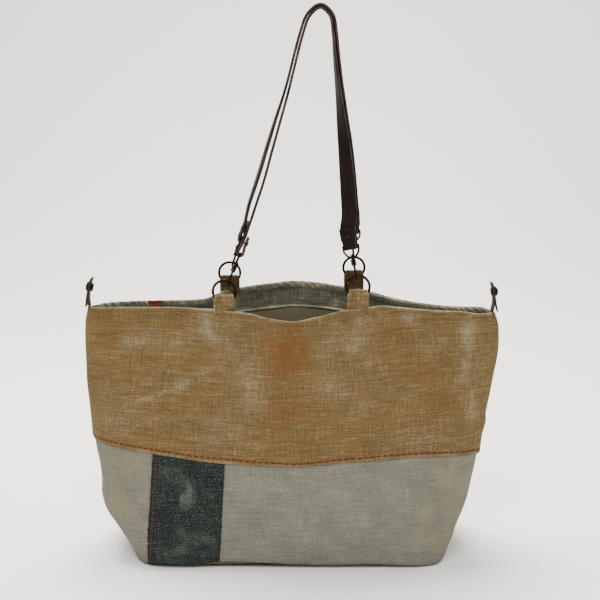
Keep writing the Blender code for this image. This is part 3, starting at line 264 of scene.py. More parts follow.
# The creases that wear and washing have left in the outer cloth: sharp little ridges and
# valleys that run up the right corner, across the lower corners and over the tan panel.
# Each is a line from one point to another on the front, in metres.
CREASE_COLUMNS = ("side", "x_1", "z_1", "x_2", "z_2", "width", "stand")
CREASES = (
    ("front", 0.158, 0.262, 0.174, 0.241, 0.0045, 0.0014),
    ("front", 0.174, 0.241, 0.192, 0.219, 0.0045, 0.0024),
    ("front", 0.192, 0.219, 0.202, 0.185, 0.0050, 0.0026),
    ("front", 0.202, 0.185, 0.200, 0.144, 0.0050, 0.0020),
    ("front", 0.183, 0.205, 0.187, 0.160, 0.0110, -0.0022),
    ("front", 0.215, 0.250, 0.213, 0.200, 0.0070, -0.0016),
    ("front", 0.163, 0.128, 0.178, 0.111, 0.0035, 0.0016),
    ("front", 0.178, 0.111, 0.184, 0.094, 0.0035, 0.0018),
    ("front", 0.184, 0.094, 0.181, 0.070, 0.0040, 0.0012),
    ("front", 0.168, 0.108, 0.171, 0.078, 0.0070, -0.0016),
    ("front", 0.150, 0.082, 0.160, 0.040, 0.0045, 0.0013),
    ("front", 0.136, 0.050, 0.150, 0.018, 0.0060, -0.0012),
    ("front", -0.175, 0.186, -0.132, 0.209, 0.0022, 0.0012),
    ("front", -0.132, 0.209, -0.090, 0.232, 0.0022, 0.0012),
    ("front", -0.192, 0.158, -0.150, 0.176, 0.0030, 0.0008),
    ("front", -0.205, 0.146, -0.168, 0.140, 0.0040, 0.0008),
    ("front", -0.212, 0.128, -0.176, 0.098, 0.0040, 0.0012),
    ("front", -0.205, 0.110, -0.182, 0.080, 0.0040, -0.0013),
    ("front", -0.199, 0.122, -0.168, 0.112, 0.0050, -0.0010),
    ("front", -0.186, 0.066, -0.170, 0.034, 0.0050, 0.0014),
    ("front", -0.197, 0.074, -0.178, 0.040, 0.0060, -0.0012),
    ("front", 0.060, 0.262, 0.040, 0.205, 0.0140, -0.0012),
    ("front", -0.052, 0.262, -0.062, 0.205, 0.0150, -0.0012),
    ("back", -0.160, 0.240, -0.120, 0.190, 0.0050, 0.0014),
    ("back", 0.180, 0.250, 0.200, 0.190, 0.0050, 0.0018),
    ("back", 0.150, 0.110, 0.178, 0.070, 0.0050, 0.0016),
    ("back", -0.190, 0.105, -0.160, 0.060, 0.0050, 0.0016),
)


def crease_relief(side, points):
    """How far the creases, rumples and slack move the outer cloth, in metres."""
    x, z = points[..., 0], points[..., 2]
    relief = np.zeros_like(x)
    for row in CREASES:
        crease = dict(zip(CREASE_COLUMNS, row))
        if crease["side"] != side:
            continue
        run_x, run_z = crease["x_2"] - crease["x_1"], crease["z_2"] - crease["z_1"]
        px, pz = x - crease["x_1"], z - crease["z_1"]
        along = (px * run_x + pz * run_z) / (run_x ** 2 + run_z ** 2)
        held = np.clip(along, 0.0, 1.0)
        away = np.hypot(px - held * run_x, pz - held * run_z)
        relief += crease["stand"] * np.exp(-(away / crease["width"]) ** 2)
    seed = 1 if side == "front" else 5
    relief += 0.0010 * value_noise(x / 0.060, z / 0.050, seed)
    relief += 0.0006 * value_noise(x / 0.026 + 0.4 * z / 0.03, z / 0.032, seed + 1)
    relief += 0.00022 * value_noise(x / 0.011, z / 0.012, seed + 2)
    near_seam = np.clip((HALF_WIDTH * 1.0 - np.abs(x)) / 0.02, 0.0, 1.0)
    return relief * (0.35 + 0.65 * near_seam)


def sewn_mesh(name, points, cloth, tone, flip=False, closed=False):
    """A grid of points as a smooth mesh that carries its cloth run and its tone; closed, its
    last column joins its first and its end rows are shut."""
    rows, columns = points.shape[:2]
    index = np.arange(rows * columns).reshape(rows, columns)
    if closed:
        index = np.hstack([index, index[:, :1]])
    faces = np.stack([index[:-1, :-1], index[:-1, 1:], index[1:, 1:], index[1:, :-1]], axis=-1)
    faces = faces.reshape(-1, 4)
    if flip:
        faces = faces[:, ::-1]
    faces = faces.tolist()
    if closed:
        faces += [index[0, :-1][::-1].tolist(), index[-1, :-1].tolist()]
    mesh = bpy.data.meshes.new(name)
    mesh.from_pydata(points.reshape(-1, 3).tolist(), [], faces)
    run = np.concatenate([cloth.reshape(-1, 2), np.zeros((rows * columns, 1))], axis=1)
    for label, values in (("cloth", run), ("tone", tone.reshape(-1, 3))):
        layer = mesh.attributes.new(label, "FLOAT_VECTOR", "POINT")
        layer.data.foreach_set("vector", values.astype(np.float32).ravel())
    mesh.shade_smooth()
    return mesh


def piece(name, mesh, finish, body, slot=None, *nodes):
    """A finished piece: its object, its material, the body that it rides on, the record's
    slot (not used) and the solids that it stands for."""
    made = bpy.data.objects.new(name, mesh)
    bpy.context.scene.collection.objects.link(made)
    mesh.materials.clear()
    mesh.materials.append(finish)
    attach(made, body)
    if nodes:
        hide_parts(*nodes)
    return made


# The linen. Yarn of uneven thickness, dyed and then stone-washed, so that the high threads
# and the folds have paled and the gaps between threads stay dark. Each cloth is this weave
# in its own colours; tone says where it is washed pale (in places with a painted highlight),
# warm and brown, or darkened by painted shade (with some soil).
def paint(red, green, blue):
    """A colour given as it looks on a screen, 0 to 255."""
    return tuple((v / 12.92 if v <= 0.04045 else ((v + 0.055) / 1.055) ** 2.4)
                 for v in (red / 255, green / 255, blue / 255)) + (1.0,)


class Thread:
    """One value in a finish; arithmetic on it adds Math nodes."""

    def __init__(self, finish, socket):
        self.finish, self.socket = finish, socket

    def __add__(self, other):
        return self.finish.maths("ADD", self, other)

    __radd__ = __add__

    def __sub__(self, other):
        return self.finish.maths("SUBTRACT", self, other)

    def __rsub__(self, other):
        return self.finish.maths("SUBTRACT", other, self)

    def __mul__(self, other):
        return self.finish.maths("MULTIPLY", self, other)

    __rmul__ = __mul__

    def __pow__(self, other):
        return self.finish.maths("POWER", self, other)


class Finish:
    """A material under construction, with one Principled shader."""

    def __init__(self, name, **constants):
        self.made = bpy.data.materials.new(name)
        self.made.use_nodes = True
        self.tree = self.made.node_tree
        self.shader = self.tree.nodes["Principled BSDF"]
        for socket, value in constants.items():
            self.shader.inputs[socket.replace("_", " ")].default_value = value

    def node(self, kind, sockets, settings=None, out=0):
        """Any node: its type, its sockets' values or links, its settings and its output."""
        made = self.tree.nodes.new(kind)
        for name, value in (settings or {}).items():
            if name == "stops":
                ramp = made.color_ramp
                while len(ramp.elements) < len(value):
                    ramp.elements.new(0.5)
                for element, (place, colour) in zip(ramp.elements, value):
                    element.position, element.color = place, colour
            else:
                setattr(made, name, value)
        for name, value in sockets.items():
            if isinstance(value, Thread):
                self.tree.links.new(value.socket, made.inputs[name])
            else:
                made.inputs[name].default_value = value
        return Thread(self, made.outputs[out])

    def maths(self, operation, *values, clamp=False):
        return self.node("ShaderNodeMath", dict(enumerate(values)),
                         {"operation": operation, "use_clamp": clamp})

    def mix(self, share, low, high, how="MIX"):
        """A colour between two others."""
        return self.node("ShaderNodeMix", {0: share, 6: low, 7: high},
                         {"data_type": "RGBA", "blend_type": how, "clamp_factor": True}, 2)

    def scaled(self, vector, by):
        return self.node("ShaderNodeVectorMath", {0: vector, 1: by}, {"operation": "MULTIPLY"})

    def noise(self, vector, scale=1.0, detail=2.0, roughness=0.5):
        return self.node("ShaderNodeTexNoise", {"Vector": vector, "Scale": scale, "Detail": detail,
                                                "Roughness": roughness})

    def attribute(self, name):
        return self.node("ShaderNodeAttribute", {}, {"attribute_name": name}, 1)

    def split(self, vector):
        made = self.tree.nodes.new("ShaderNodeSeparateXYZ")
        self.tree.links.new(vector.socket, made.inputs[0])
        return [Thread(self, socket) for socket in made.outputs]

    def drive(self, **sockets):
        """Feeds the shader's own sockets, then gives the material."""
        for name, value in sockets.items():
            self.tree.links.new(value.socket, self.shader.inputs[name.replace("_", " ")])
        return self.made

    def bump(self, height, distance, strength=1.0):
        return self.node("ShaderNodeBump", {"Height": height, "Distance": distance,
                                            "Strength": strength})


THREAD_PITCH = 0.00085


def linen(name, dark, middle, light, washed, warm, contrast=1.0, fleck=0.0):
    """Slubby washed linen over the cloth's own run, so the weave follows each panel; fleck
    is how much its streaks give way to fine even flecks."""
    f = Finish(name, Roughness=0.95, Specular_IOR_Level=0.12)
    run = f.attribute("cloth")
    tone = f.split(f.attribute("tone"))
    drift = f.noise(run, 55.0, 2.0)
    wander = f.node("ShaderNodeVectorMath", {0: run, 1: f.scaled(drift, (0.004, 0.004, 0.0))},
                    {"operation": "ADD"})
    weft = f.noise(f.scaled(wander, (40.0, 560.0, 1.0)), 1.0, 3.0, 0.6)
    warp = f.noise(f.scaled(wander, (560.0, 40.0, 1.0)), 1.0, 3.0, 0.6)
    slub = f.noise(f.scaled(wander, (16.0, 210.0, 1.0)), 1.0, 2.0)
    fine_weft = f.noise(f.scaled(run, (150.0, 1300.0, 1.0)), 1.0, 1.0)
    fine_warp = f.noise(f.scaled(run, (1300.0, 150.0, 1.0)), 1.0, 1.0)
    grain = f.noise(run, 420.0, 3.0, 0.7)
    blotch = f.noise(run, 26.0, 5.0, 0.65)
    yarn = (weft * 0.26 + warp * 0.20 + slub * 0.12 + fine_weft * 0.13 + fine_warp * 0.11
            + grain * 0.18)
    if fleck:
        flecks = f.noise(run, 780.0, 2.0, 0.6)
        yarn = yarn * (1.0 - fleck) + flecks * fleck
    thread = f.maths("MULTIPLY_ADD", yarn - 0.5, 6.0 * contrast, 0.5, clamp=True)
    across, up, _ = f.split(run)
    turn = 2 * math.pi / THREAD_PITCH
    over = f.maths("SINE", across * turn + drift * 9.0)
    under = f.maths("SINE", up * turn + drift * 7.0)
    weave = f.maths("MULTIPLY_ADD", over * under, 0.5, 0.5)
    colour = f.mix(thread, dark, middle)
    bright = f.maths("MULTIPLY_ADD", yarn - 0.53, 7.5 * contrast, 0.0, clamp=True)
    colour = f.mix(bright, colour, light)
    pale = f.maths("MULTIPLY_ADD", blotch - 0.40, 3.0, 0.20, clamp=True)
    speck = f.maths("MULTIPLY_ADD", thread, 0.75, 0.25)
    colour = f.mix(f.maths("MULTIPLY", tone[0] * pale, speck, clamp=True), colour, washed)
    colour = f.mix(f.maths("MULTIPLY", tone[1] * pale, 1.25 - thread * 0.6, clamp=True),
                   colour, warm)
    shade = f.maths("MULTIPLY_ADD", tone[2], -0.75, 1.0)
    shade = shade * f.maths("MULTIPLY_ADD", weave, 0.13, 0.90)
    shade = shade * f.maths("MULTIPLY_ADD", blotch - 0.5, 0.55, 1.0)
    grey = f.node("ShaderNodeCombineColor", {0: shade, 1: shade, 2: shade})
    colour = f.mix(1.0, colour, grey, "MULTIPLY")
    height = thread * 0.6 + weave * 0.4
    return f.drive(Base_Color=colour, Normal=f.bump(height, 0.00045, 0.8))


tan_linen = linen("tan_washed_linen", paint(86, 69, 41), paint(116, 96, 64), paint(141, 124, 93),
                  paint(146, 138, 115), paint(97, 68, 35), 1.2)
grey_linen = linen("grey_washed_linen", paint(92, 91, 80), paint(121, 119, 107),
                   paint(147, 146, 132), paint(141, 140, 129), paint(117, 109, 85), 0.8)
charcoal_linen = linen("charcoal_washed_linen", paint(15, 21, 20), paint(42, 49, 46),
                       paint(100, 107, 99), paint(108, 113, 102), paint(36, 36, 32), 1.35, 0.5)
# The facing's pale colour serves its washed places and the painted highlights; its darkest colour is mostly
# painted shade in the puckers' grooves, partly its own mottling.
facing_linen = linen("green_grey_facing_linen", paint(68, 67, 54), paint(116, 112, 94),
                     paint(151, 148, 123), paint(188, 184, 153), paint(27, 32, 26), 1.0)
taupe_linen = linen("taupe_lining_linen", paint(97, 91, 71), paint(118, 110, 86),
                    paint(137, 127, 103), paint(160, 150, 124), paint(86, 78, 60), 0.45)


# The tan upper panels, front and back. Each is one width of linen, turned in at the rim and
# at the lower hem, where it laps over the grey cloth. The fold at the rim has worn pale and
# carries a painted highlight along its top.
WASH_COLUMNS = ("x", "z", "half_x", "half_z", "lean", "washed", "warm")
FRONT_WASH = (
    (-0.096, 0.283, 0.010, 0.022, 0.25, 0.95, 0.0),
    (-0.080, 0.262, 0.016, 0.016, 0.40, 0.35, 0.0),
    (-0.176, 0.258, 0.022, 0.010, 0.10, 0.60, 0.0),
    (-0.120, 0.262, 0.020, 0.012, 0.50, 0.35, 0.0),
    (-0.134, 0.2115, 0.010, 0.006, 0.40, 0.75, 0.0),
    (-0.160, 0.194, 0.030, 0.003, 0.52, 0.70, 0.0),
    (-0.108, 0.222, 0.030, 0.003, 0.50, 0.70, 0.0),
    (-0.170, 0.168, 0.026, 0.003, 0.42, 0.30, 0.0),
    (-0.055, 0.238, 0.012, 0.018, -0.50, 0.55, 0.0),
    (-0.045, 0.208, 0.018, 0.024, -0.30, 0.60, 0.0),
    (-0.085, 0.165, 0.030, 0.022, 0.30, 0.35, 0.0),
    (-0.205, 0.170, 0.012, 0.022, 0.00, 0.35, 0.0),
    (0.072, 0.274, 0.013, 0.022, -0.20, 0.90, 0.0),
    (0.040, 0.258, 0.016, 0.014, 0.50, 0.50, 0.0),
    (0.046, 0.218, 0.018, 0.020, 0.20, 0.35, 0.0),
    (0.070, 0.190, 0.016, 0.010, 0.10, 0.30, 0.0),
    (0.133, 0.288, 0.011, 0.010, -0.50, 0.80, 0.0),
    (0.158, 0.252, 0.011, 0.009, -0.40, 0.90, 0.0),
    (0.205, 0.262, 0.010, 0.024, 0.00, 0.60, 0.0),
    (0.196, 0.224, 0.006, 0.024, -0.40, 0.45, 0.0),
    (0.206, 0.175, 0.008, 0.030, 0.00, 0.50, 0.0),
    (0.110, 0.205, 0.030, 0.006, 0.00, 0.20, 0.0),
    (0.150, 0.150, 0.030, 0.012, 0.10, 0.25, 0.0),
    (-0.003, 0.262, 0.020, 0.030, 0.00, 0.0, 1.50),
    (-0.012, 0.205, 0.024, 0.050, 0.00, 0.0, 1.00),
    (0.020, 0.190, 0.050, 0.014, 0.10, 0.0, 0.45),
    (0.115, 0.268, 0.024, 0.014, 0.10, 0.0, 0.75),
    (0.150, 0.226, 0.024, 0.014, 0.10, 0.0, 0.80),
    (0.170, 0.190, 0.024, 0.026, 0.00, 0.0, 0.60),
    (0.178, 0.282, 0.026, 0.010, 0.00, 0.0, 0.45),
    (-0.212, 0.272, 0.014, 0.022, 0.00, 0.0, 0.75),
    (-0.150, 0.276, 0.040, 0.010, 0.00, 0.0, 0.35),
    (-0.110, 0.240, 0.040, 0.014, 0.30, 0.0, 0.45),
    (-0.095, 0.190, 0.016, 0.030, 0.00, 0.0, 0.35),
    (-0.140, 0.150, 0.050, 0.014, 0.10, 0.0, 0.35),
    (0.020, 0.145, 0.060, 0.018, 0.00, 0.0, 0.40),
)
BACK_WASH = (
    (-0.150, 0.250, 0.022, 0.014, 0.30, 0.70, 0.0), (-0.040, 0.215, 0.026, 0.020, -0.3, 0.55, 0.0),
    (0.060, 0.262, 0.020, 0.018, 0.20, 0.70, 0.0), (0.130, 0.190, 0.030, 0.014, 0.40, 0.50, 0.0),
    (0.200, 0.240, 0.010, 0.030, 0.00, 0.50, 0.0), (-0.200, 0.190, 0.014, 0.026, 0.0, 0.45, 0.0),
    (-0.090, 0.270, 0.034, 0.014, 0.00, 0.0, 0.75), (0.010, 0.240, 0.030, 0.030, 0.00, 0.0, 0.65),
    (0.110, 0.245, 0.030, 0.016, 0.20, 0.0, 0.60), (-0.120, 0.180, 0.040, 0.024, 0.0, 0.0, 0.50),
    (0.050, 0.165, 0.060, 0.018, 0.00, 0.0, 0.50), (0.190, 0.165, 0.020, 0.020, 0.0, 0.0, 0.45),
)


def wash(patches, points):
    """How washed and how warm the cloth is at each point, from the patches."""
    x, z = points[..., 0], points[..., 2]
    wobble_x = x + 0.006 * value_noise(x / 0.016, z / 0.016, 31)
    wobble_z = z + 0.006 * value_noise(x / 0.016, z / 0.016, 32)
    found = [np.zeros_like(x), np.zeros_like(x)]
    for row in patches:
        patch = dict(zip(WASH_COLUMNS, row))
        px, pz = wobble_x - patch["x"], wobble_z - patch["z"]
        turn = math.atan(patch["lean"])
        along = px * math.cos(turn) + pz * math.sin(turn)
        beside = pz * math.cos(turn) - px * math.sin(turn)
        fall = np.exp(-(along / patch["half_x"]) ** 2 - (beside / patch["half_z"]) ** 2)
        found[0] += patch["washed"] * fall
        found[1] += patch["warm"] * fall
    return found


STITCH_RISE = ((0.0, 0.0044), (0.28, 0.0048), (0.38, 0.0054), (0.44, 0.0042), (0.49, 0.0032),
               (0.55, 0.0036), (0.62, 0.0044), (1.0, 0.0044))
RIM_STITCH_DROP = 0.0038
RIM_WEAR_AND_HIGHLIGHT = {"front": ((0.0, 0.9), (0.5, 1.0), (1.0, 0.9)),
            "back": ((0.0, 0.9), (0.33, 0.60), (0.52, 0.50), (0.60, 0.9), (0.85, 1.0), (1.0, 0.8))}
UPPER_HEM_TURN = ((0.0032, 0.0000), (0.0008, 0.0001), (0.0001, 0.0004), (-0.0001, 0.0009),
                  (0.0002, 0.0014), (0.0009, 0.0017), (0.0020, 0.0018))
UPPER_RIM_TURN = ((0.0022, 0.0011), (0.0010, 0.0010), (0.0002, 0.0006), (-0.0003, 0.0000),
                  (-0.0004, -0.0006), (-0.0001, -0.0012), (0.0008, -0.0016), (0.0030, -0.0018),
                  (0.0080, -0.0018))


def stitch_rise(across):
    """How far above the hem's edge the hand-sewn line runs."""
    return np.interp(across, *zip(*STITCH_RISE))


def upper_relief(side, across, heights, hem_turn=1.0):
    """How far the tan cloth stands off its plain form: creases, puckers along both rows of
    stitches, the furrows that the threads pull and the dip at each side seam."""
    top, low = rim_height(side, across), hem_height(side, across)
    z = heights * top
    above_hem, below_rim = z - low, top - z
    run = cloth_run(side, across, heights)
    flat = on_body(side, across, heights)
    fade = np.clip(above_hem / 0.004, 0.0, 1.0) * np.clip(below_rim / 0.010, 0.0, 1.0)
    relief = crease_relief(side, flat) * fade
    pucker = np.sin(2 * math.pi * run / 0.0076 + 2.2 * value_noise(run / 0.03, run * 0, 3))
    from_row = above_hem - stitch_rise(across)
    relief += 0.00034 * pucker * np.exp(-np.abs(from_row) / 0.0045)
    relief -= 0.00050 * np.exp(-(from_row / 0.0011) ** 2)
    ripple = np.sin(2 * math.pi * run / 0.0098 + 2.5 * value_noise(run / 0.04, run * 0, 4))
    relief += 0.00032 * ripple * np.exp(-np.abs(below_rim - RIM_STITCH_DROP) / 0.005)
    relief -= 0.00045 * np.exp(-((below_rim - RIM_STITCH_DROP) / 0.0010) ** 2)
    seam = np.minimum(across, 1.0 - across) * 0.6
    return relief - 0.0012 * np.exp(-(seam / 0.0022) ** 2) * hem_turn


def upper_panel(side):
    across = np.linspace(0.0, 1.0, 301)
    low, top = hem_height(side, across), rim_height(side, across)
    heights, outs = [], []
    for up, out in UPPER_HEM_TURN:
        heights.append((low + up) / top)
        outs.append(out)
    first, last = low + UPPER_HEM_TURN[-1][0], top - UPPER_RIM_TURN[0][0]
    for step in np.linspace(0.0, 1.0, 84)[1:-1]:
        heights.append((first + step * (last - first)) / top)
        outs.append(0.0018 - 0.0007 * min(step * 8.0, 1.0))
    for down, out in UPPER_RIM_TURN:
        heights.append((top - down) / top)
        outs.append(out)
    heights = np.array(heights)
    outs = np.array(outs)[:, None] * np.ones_like(heights)
    spread = np.broadcast_to(across, heights.shape)
    flat = on_body(side, spread, heights)
    z = heights * top
    above_hem, below_rim = z - low, top - z
    run = cloth_run(side, spread, heights)
    relief = upper_relief(side, spread, heights, outs > -0.001)
    if side == "back":
        covered = np.interp(spread, (0.0, 0.06, 0.56, 0.64, 1.0), (0.6, 1.0, 1.0, 0.3, 0.2))
        heights = heights - 0.0011 * covered * np.exp(-(below_rim / 0.004) ** 2) / top
    points = on_body(side, spread, heights, outs + relief)
    washed, warm = wash(FRONT_WASH if side == "front" else BACK_WASH, flat)
    # The rim's fold is paled, partly by wear and partly by a painted highlight along its top.
    pale = np.interp(spread, *zip(*RIM_WEAR_AND_HIGHLIGHT[side]))
    washed = washed + 1.6 * pale * np.exp(-(np.maximum(below_rim, 0) / 0.0011) ** 2)
    from_row = above_hem - stitch_rise(spread)
    warm = warm + 0.10 + 0.55 * np.exp(-(from_row / 0.0018) ** 2)
    washed = washed + 0.55 * np.exp(-((above_hem - 0.0012) / 0.0018) ** 2)
    seam = np.minimum(spread, 1.0 - spread) * 0.6
    # Painted shade in the furrows of both stitch rows, under the hem's edge and in the dip at each side seam; a
    # band about 8 mm under the rim is darkened too.
    painted_shade_and_soil = 0.12 * np.exp(-(from_row / 0.0012) ** 2)
    painted_shade_and_soil += 0.06 * np.exp(-(above_hem / 0.0010) ** 2)
    painted_shade_and_soil += 0.30 * np.exp(-((below_rim - RIM_STITCH_DROP) / 0.0011) ** 2)
    painted_shade_and_soil += 0.30 * np.exp(-(seam / 0.003) ** 2)
    painted_shade_and_soil += 0.10 * np.exp(-((below_rim - 0.0085) / 0.004) ** 2)
    tone = np.stack([washed, warm, painted_shade_and_soil], axis=-1)
    mesh = sewn_mesh(f"{side}_upper_linen", points, np.stack([run, z], axis=-1), tone,
                     side == "back")
    piece(f"{side}_upper_linen", mesh, tan_linen, "bag", "tan_linen", f"{side}_upper_panel")


upper_panel("front")
upper_panel("back")


# The stitching on the tan cloth: a hand-sewn running stitch of thick red-brown thread above
# the lower hem, right round the bag, and a fine tan top-stitch below the rim.
def tube(path, radius, sides=14, closed=False):
    """Points and faces of a round bar along a path, its radius given once or by point."""
    path = np.asarray(path, float)
    radius = np.broadcast_to(np.asarray(radius, float), len(path))[:, None, None]
    tangents = np.roll(path, -1, 0) - np.roll(path, 1, 0) if closed else np.gradient(path, axis=0)
    tangents = tangents / np.linalg.norm(tangents, axis=1, keepdims=True)
    aside = np.cross(tangents[0], path[len(path) // 3] - path[0])
    if np.linalg.norm(aside) < 1e-9:
        aside = np.cross(tangents[0], (0.31, 0.87, 0.38))
    asides = []
    for tangent in tangents:
        aside = aside - tangent * aside.dot(tangent)
        aside = aside / np.linalg.norm(aside)
        asides.append(aside)
    asides = np.array(asides)[:, None]
    above = np.cross(tangents[:, None], asides)
    angles = np.linspace(0.0, 2 * math.pi, sides, endpoint=False)[None, :, None]
    points = path[:, None] + radius * (np.cos(angles) * asides + np.sin(angles) * above)
    index = np.arange(len(path) * sides).reshape(len(path), sides)
    rows = np.vstack([index, index[:1]]) if closed else index
    faces = []
    for low, high in zip(rows, rows[1:]):
        for i in range(sides):
            j = (i + 1) % sides
            faces.append((low[i], low[j], high[j], high[i]))
    if not closed:
        faces += [tuple(index[0][::-1]), tuple(index[-1])]
    return points.reshape(-1, 3), faces


def joined(name, shapes, sharp=35.0):
    """One smooth mesh from several sets of points and faces."""
    points, faces = [], []
    for places, sides in shapes:
        faces += [tuple(int(i) + len(points) for i in side) for side in sides]
        points += [tuple(place) for place in places]
    mesh = bpy.data.meshes.new(name)
    mesh.from_pydata(points, [], faces)
    mesh.shade_smooth()
    if sharp:
        mesh.set_sharp_from_angle(angle=math.radians(sharp))
    return mesh


def stitches(name, path, lift, finish, length, gap, radius, seed):
    """A row of stitches: short threads that rise out of the cloth and dip back into it."""
    luck = random.Random(seed)
    run = np.concatenate([[0.0], np.cumsum(np.linalg.norm(np.diff(path, axis=0), axis=1))])
    shapes = []
    start = gap
    while start + length < run[-1]:
        share = np.linspace(0.0, 1.0, 7)
        at = start + share * length * luck.uniform(0.88, 1.06)
        place = np.stack([np.interp(at, run, path[:, k]) for k in range(3)], axis=1)
        away = np.stack([np.interp(at, run, lift[:, k]) for k in range(3)], axis=1)
        bow = np.sin(math.pi * share) ** 0.4
        place = place + away * (radius * (1.5 * bow - 0.9))[:, None]
        shapes.append(tube(place, radius * (0.60 + 0.40 * bow), 6))
        start += length + gap * luck.uniform(0.8, 1.3)
    piece(name, joined(name, shapes, 0), finish, "bag")


def upper_row(side, z, out):
    """The line of a row of stitches on the tan cloth, and the way out of it."""
    across = np.linspace(0.003, 0.997, 1200)
    heights = z(across) / rim_height(side, across)
    off = out + upper_relief(side, across, heights)
    path = on_body(side, across, heights, off)
    lift = on_body(side, across, heights, off + 0.001) - path
    return path, lift / np.linalg.norm(lift, axis=1, keepdims=True)


def thread(name, colour, gloss=0.85):
    f = Finish(name, Roughness=gloss, Specular_IOR_Level=0.12)
    spot = f.node("ShaderNodeTexCoord", {}, out=3)
    uneven = f.noise(spot, 900.0, 3.0)
    pale = tuple(min(c * 1.6 + 0.004, 1.0) for c in colour[:3]) + (1.0,)
    dull = tuple(c * 0.40 for c in colour[:3]) + (1.0,)
    return f.drive(Base_Color=f.mix(uneven, dull, pale))


red_thread = thread("red_brown_thread", paint(98, 26, 16))
tan_thread = thread("tan_thread", paint(118, 96, 62))
for side in ("front", "back"):
    path, lift = upper_row(side, lambda a: hem_height(side, a) + stitch_rise(a), 0.0018)
    stitches(f"{side}_red_running_stitch", path, lift, red_thread, 0.0064, 0.0012, 0.00074, 5)
    path, lift = upper_row(side, lambda a: rim_height(side, a) - RIM_STITCH_DROP, 0.0011)
    stitches(f"{side}_rim_top_stitch", path, lift, tan_thread, 0.0030, 0.0008, 0.00022, 6)


# The grey-beige lower panels and the charcoal patch let in at the front's left. They tuck
# under the tan hem, and the base's edge lifts a little between the bag's four corners.
PATCH_LEFT = (-0.1690, -0.1618)
PATCH_RIGHT = (-0.0850, -0.0775)
PATCH_RISE = 0.1275
BASE_LIFT = ((-0.25, 0.0), (-0.174, 0.0), (-0.156, 0.0024), (-0.115, 0.0036), (-0.090, 0.0082),
             (-0.055, 0.0078), (-0.032, 0.0066), (-0.010, 0.0054), (0.010, 0.0046), (0.030, 0.0042),
             (0.062, 0.0044), (0.100, 0.0050), (0.124, 0.0034), (0.150, 0.0014), (0.17, 0.0),
             (0.25, 0.0))
LOWER_TONES = (
    (-0.205, 0.095, 0.022, 0.060, 0.00, 0.0, 1.10), (0.176, 0.060, 0.024, 0.060, 0.00, 0.0, 0.70),
    (0.196, 0.105, 0.016, 0.030, 0.00, 0.25, 0.45), (-0.195, 0.118, 0.020, 0.006, -0.60, 0.7, 0.0),
    (-0.186, 0.090, 0.024, 0.004, -0.90, 0.6, 0.0), (0.030, 0.060, 0.060, 0.030, 0.10, 0.45, 0.0),
    (0.090, 0.095, 0.040, 0.014, 0.00, 0.35, 0.0), (-0.030, 0.095, 0.030, 0.016, 0.00, 0.40, 0.0),
    (0.184, 0.092, 0.003, 0.022, 0.00, 0.9, 0.3), (0.150, 0.045, 0.010, 0.030, -0.30, 0.5, 0.4),
)
CHARCOAL_TONES = (
    (-0.124, 0.100, 0.004, 0.020, 0.10, 1.0, 0.0), (-0.120, 0.084, 0.005, 0.012, 0.00, 0.8, 0.0),
    (-0.140, 0.108, 0.012, 0.010, 0.20, 0.5, 0.0), (-0.100, 0.034, 0.012, 0.014, 0.40, 0.7, 0.0),
    (-0.130, 0.016, 0.022, 0.008, 0.00, 0.6, 0.0), (-0.126, 0.040, 0.008, 0.010, 0.0, 0.5, 0.0),
    (-0.112, 0.060, 0.018, 0.012, 0.00, -0.5, 0.2), (-0.148, 0.060, 0.012, 0.030, 0.0, -0.3, 0.2),
)


def base_lift(side, points):
    """The lower edge's soft waves, which die out up the wall."""
    sign = 1.0 if side == "front" else -1.0
    lift = np.interp(points[..., 0] * sign, *zip(*BASE_LIFT))
    return lift * np.exp(-np.maximum(points[..., 2], 0.0) / 0.022)


def across_of(side, x, z):
    """The share across a side at which the cloth passes a given x, at a height."""
    levels, points, _, _ = BODY[side]
    row = points[int(np.clip(np.searchsorted(levels, z / SEAM_HEIGHT), 0, LEVELS - 1))]
    return float(np.interp(x, row[:, 0], np.linspace(0.0, 1.0, STATIONS)))


def seam_x(edge, z):
    """Where a slanting seam between two lower panels runs, at a height."""
    return edge[0] + (edge[1] - edge[0]) * np.clip(z / PATCH_RISE, 0.0, 1.0)


def lower_relief(side, flat, reach, seams):
    """How far a lower panel stands off its plain form."""
    x, z = flat[..., 0], flat[..., 2]
    relief = crease_relief(side, flat) * np.clip(z / 0.012, 0.0, 1.0)
    relief *= np.clip((reach - z - 0.003) / 0.008, 0.0, 1.0)
    for edge in seams:
        away = np.abs(x - seam_x(edge, z))
        relief += 0.00026 * np.sin(2 * math.pi * z / 0.011 + 1.3) * np.exp(-away / 0.004)
        relief -= 0.0011 * np.exp(-(away / 0.0012) ** 2)
    return relief - 0.0001


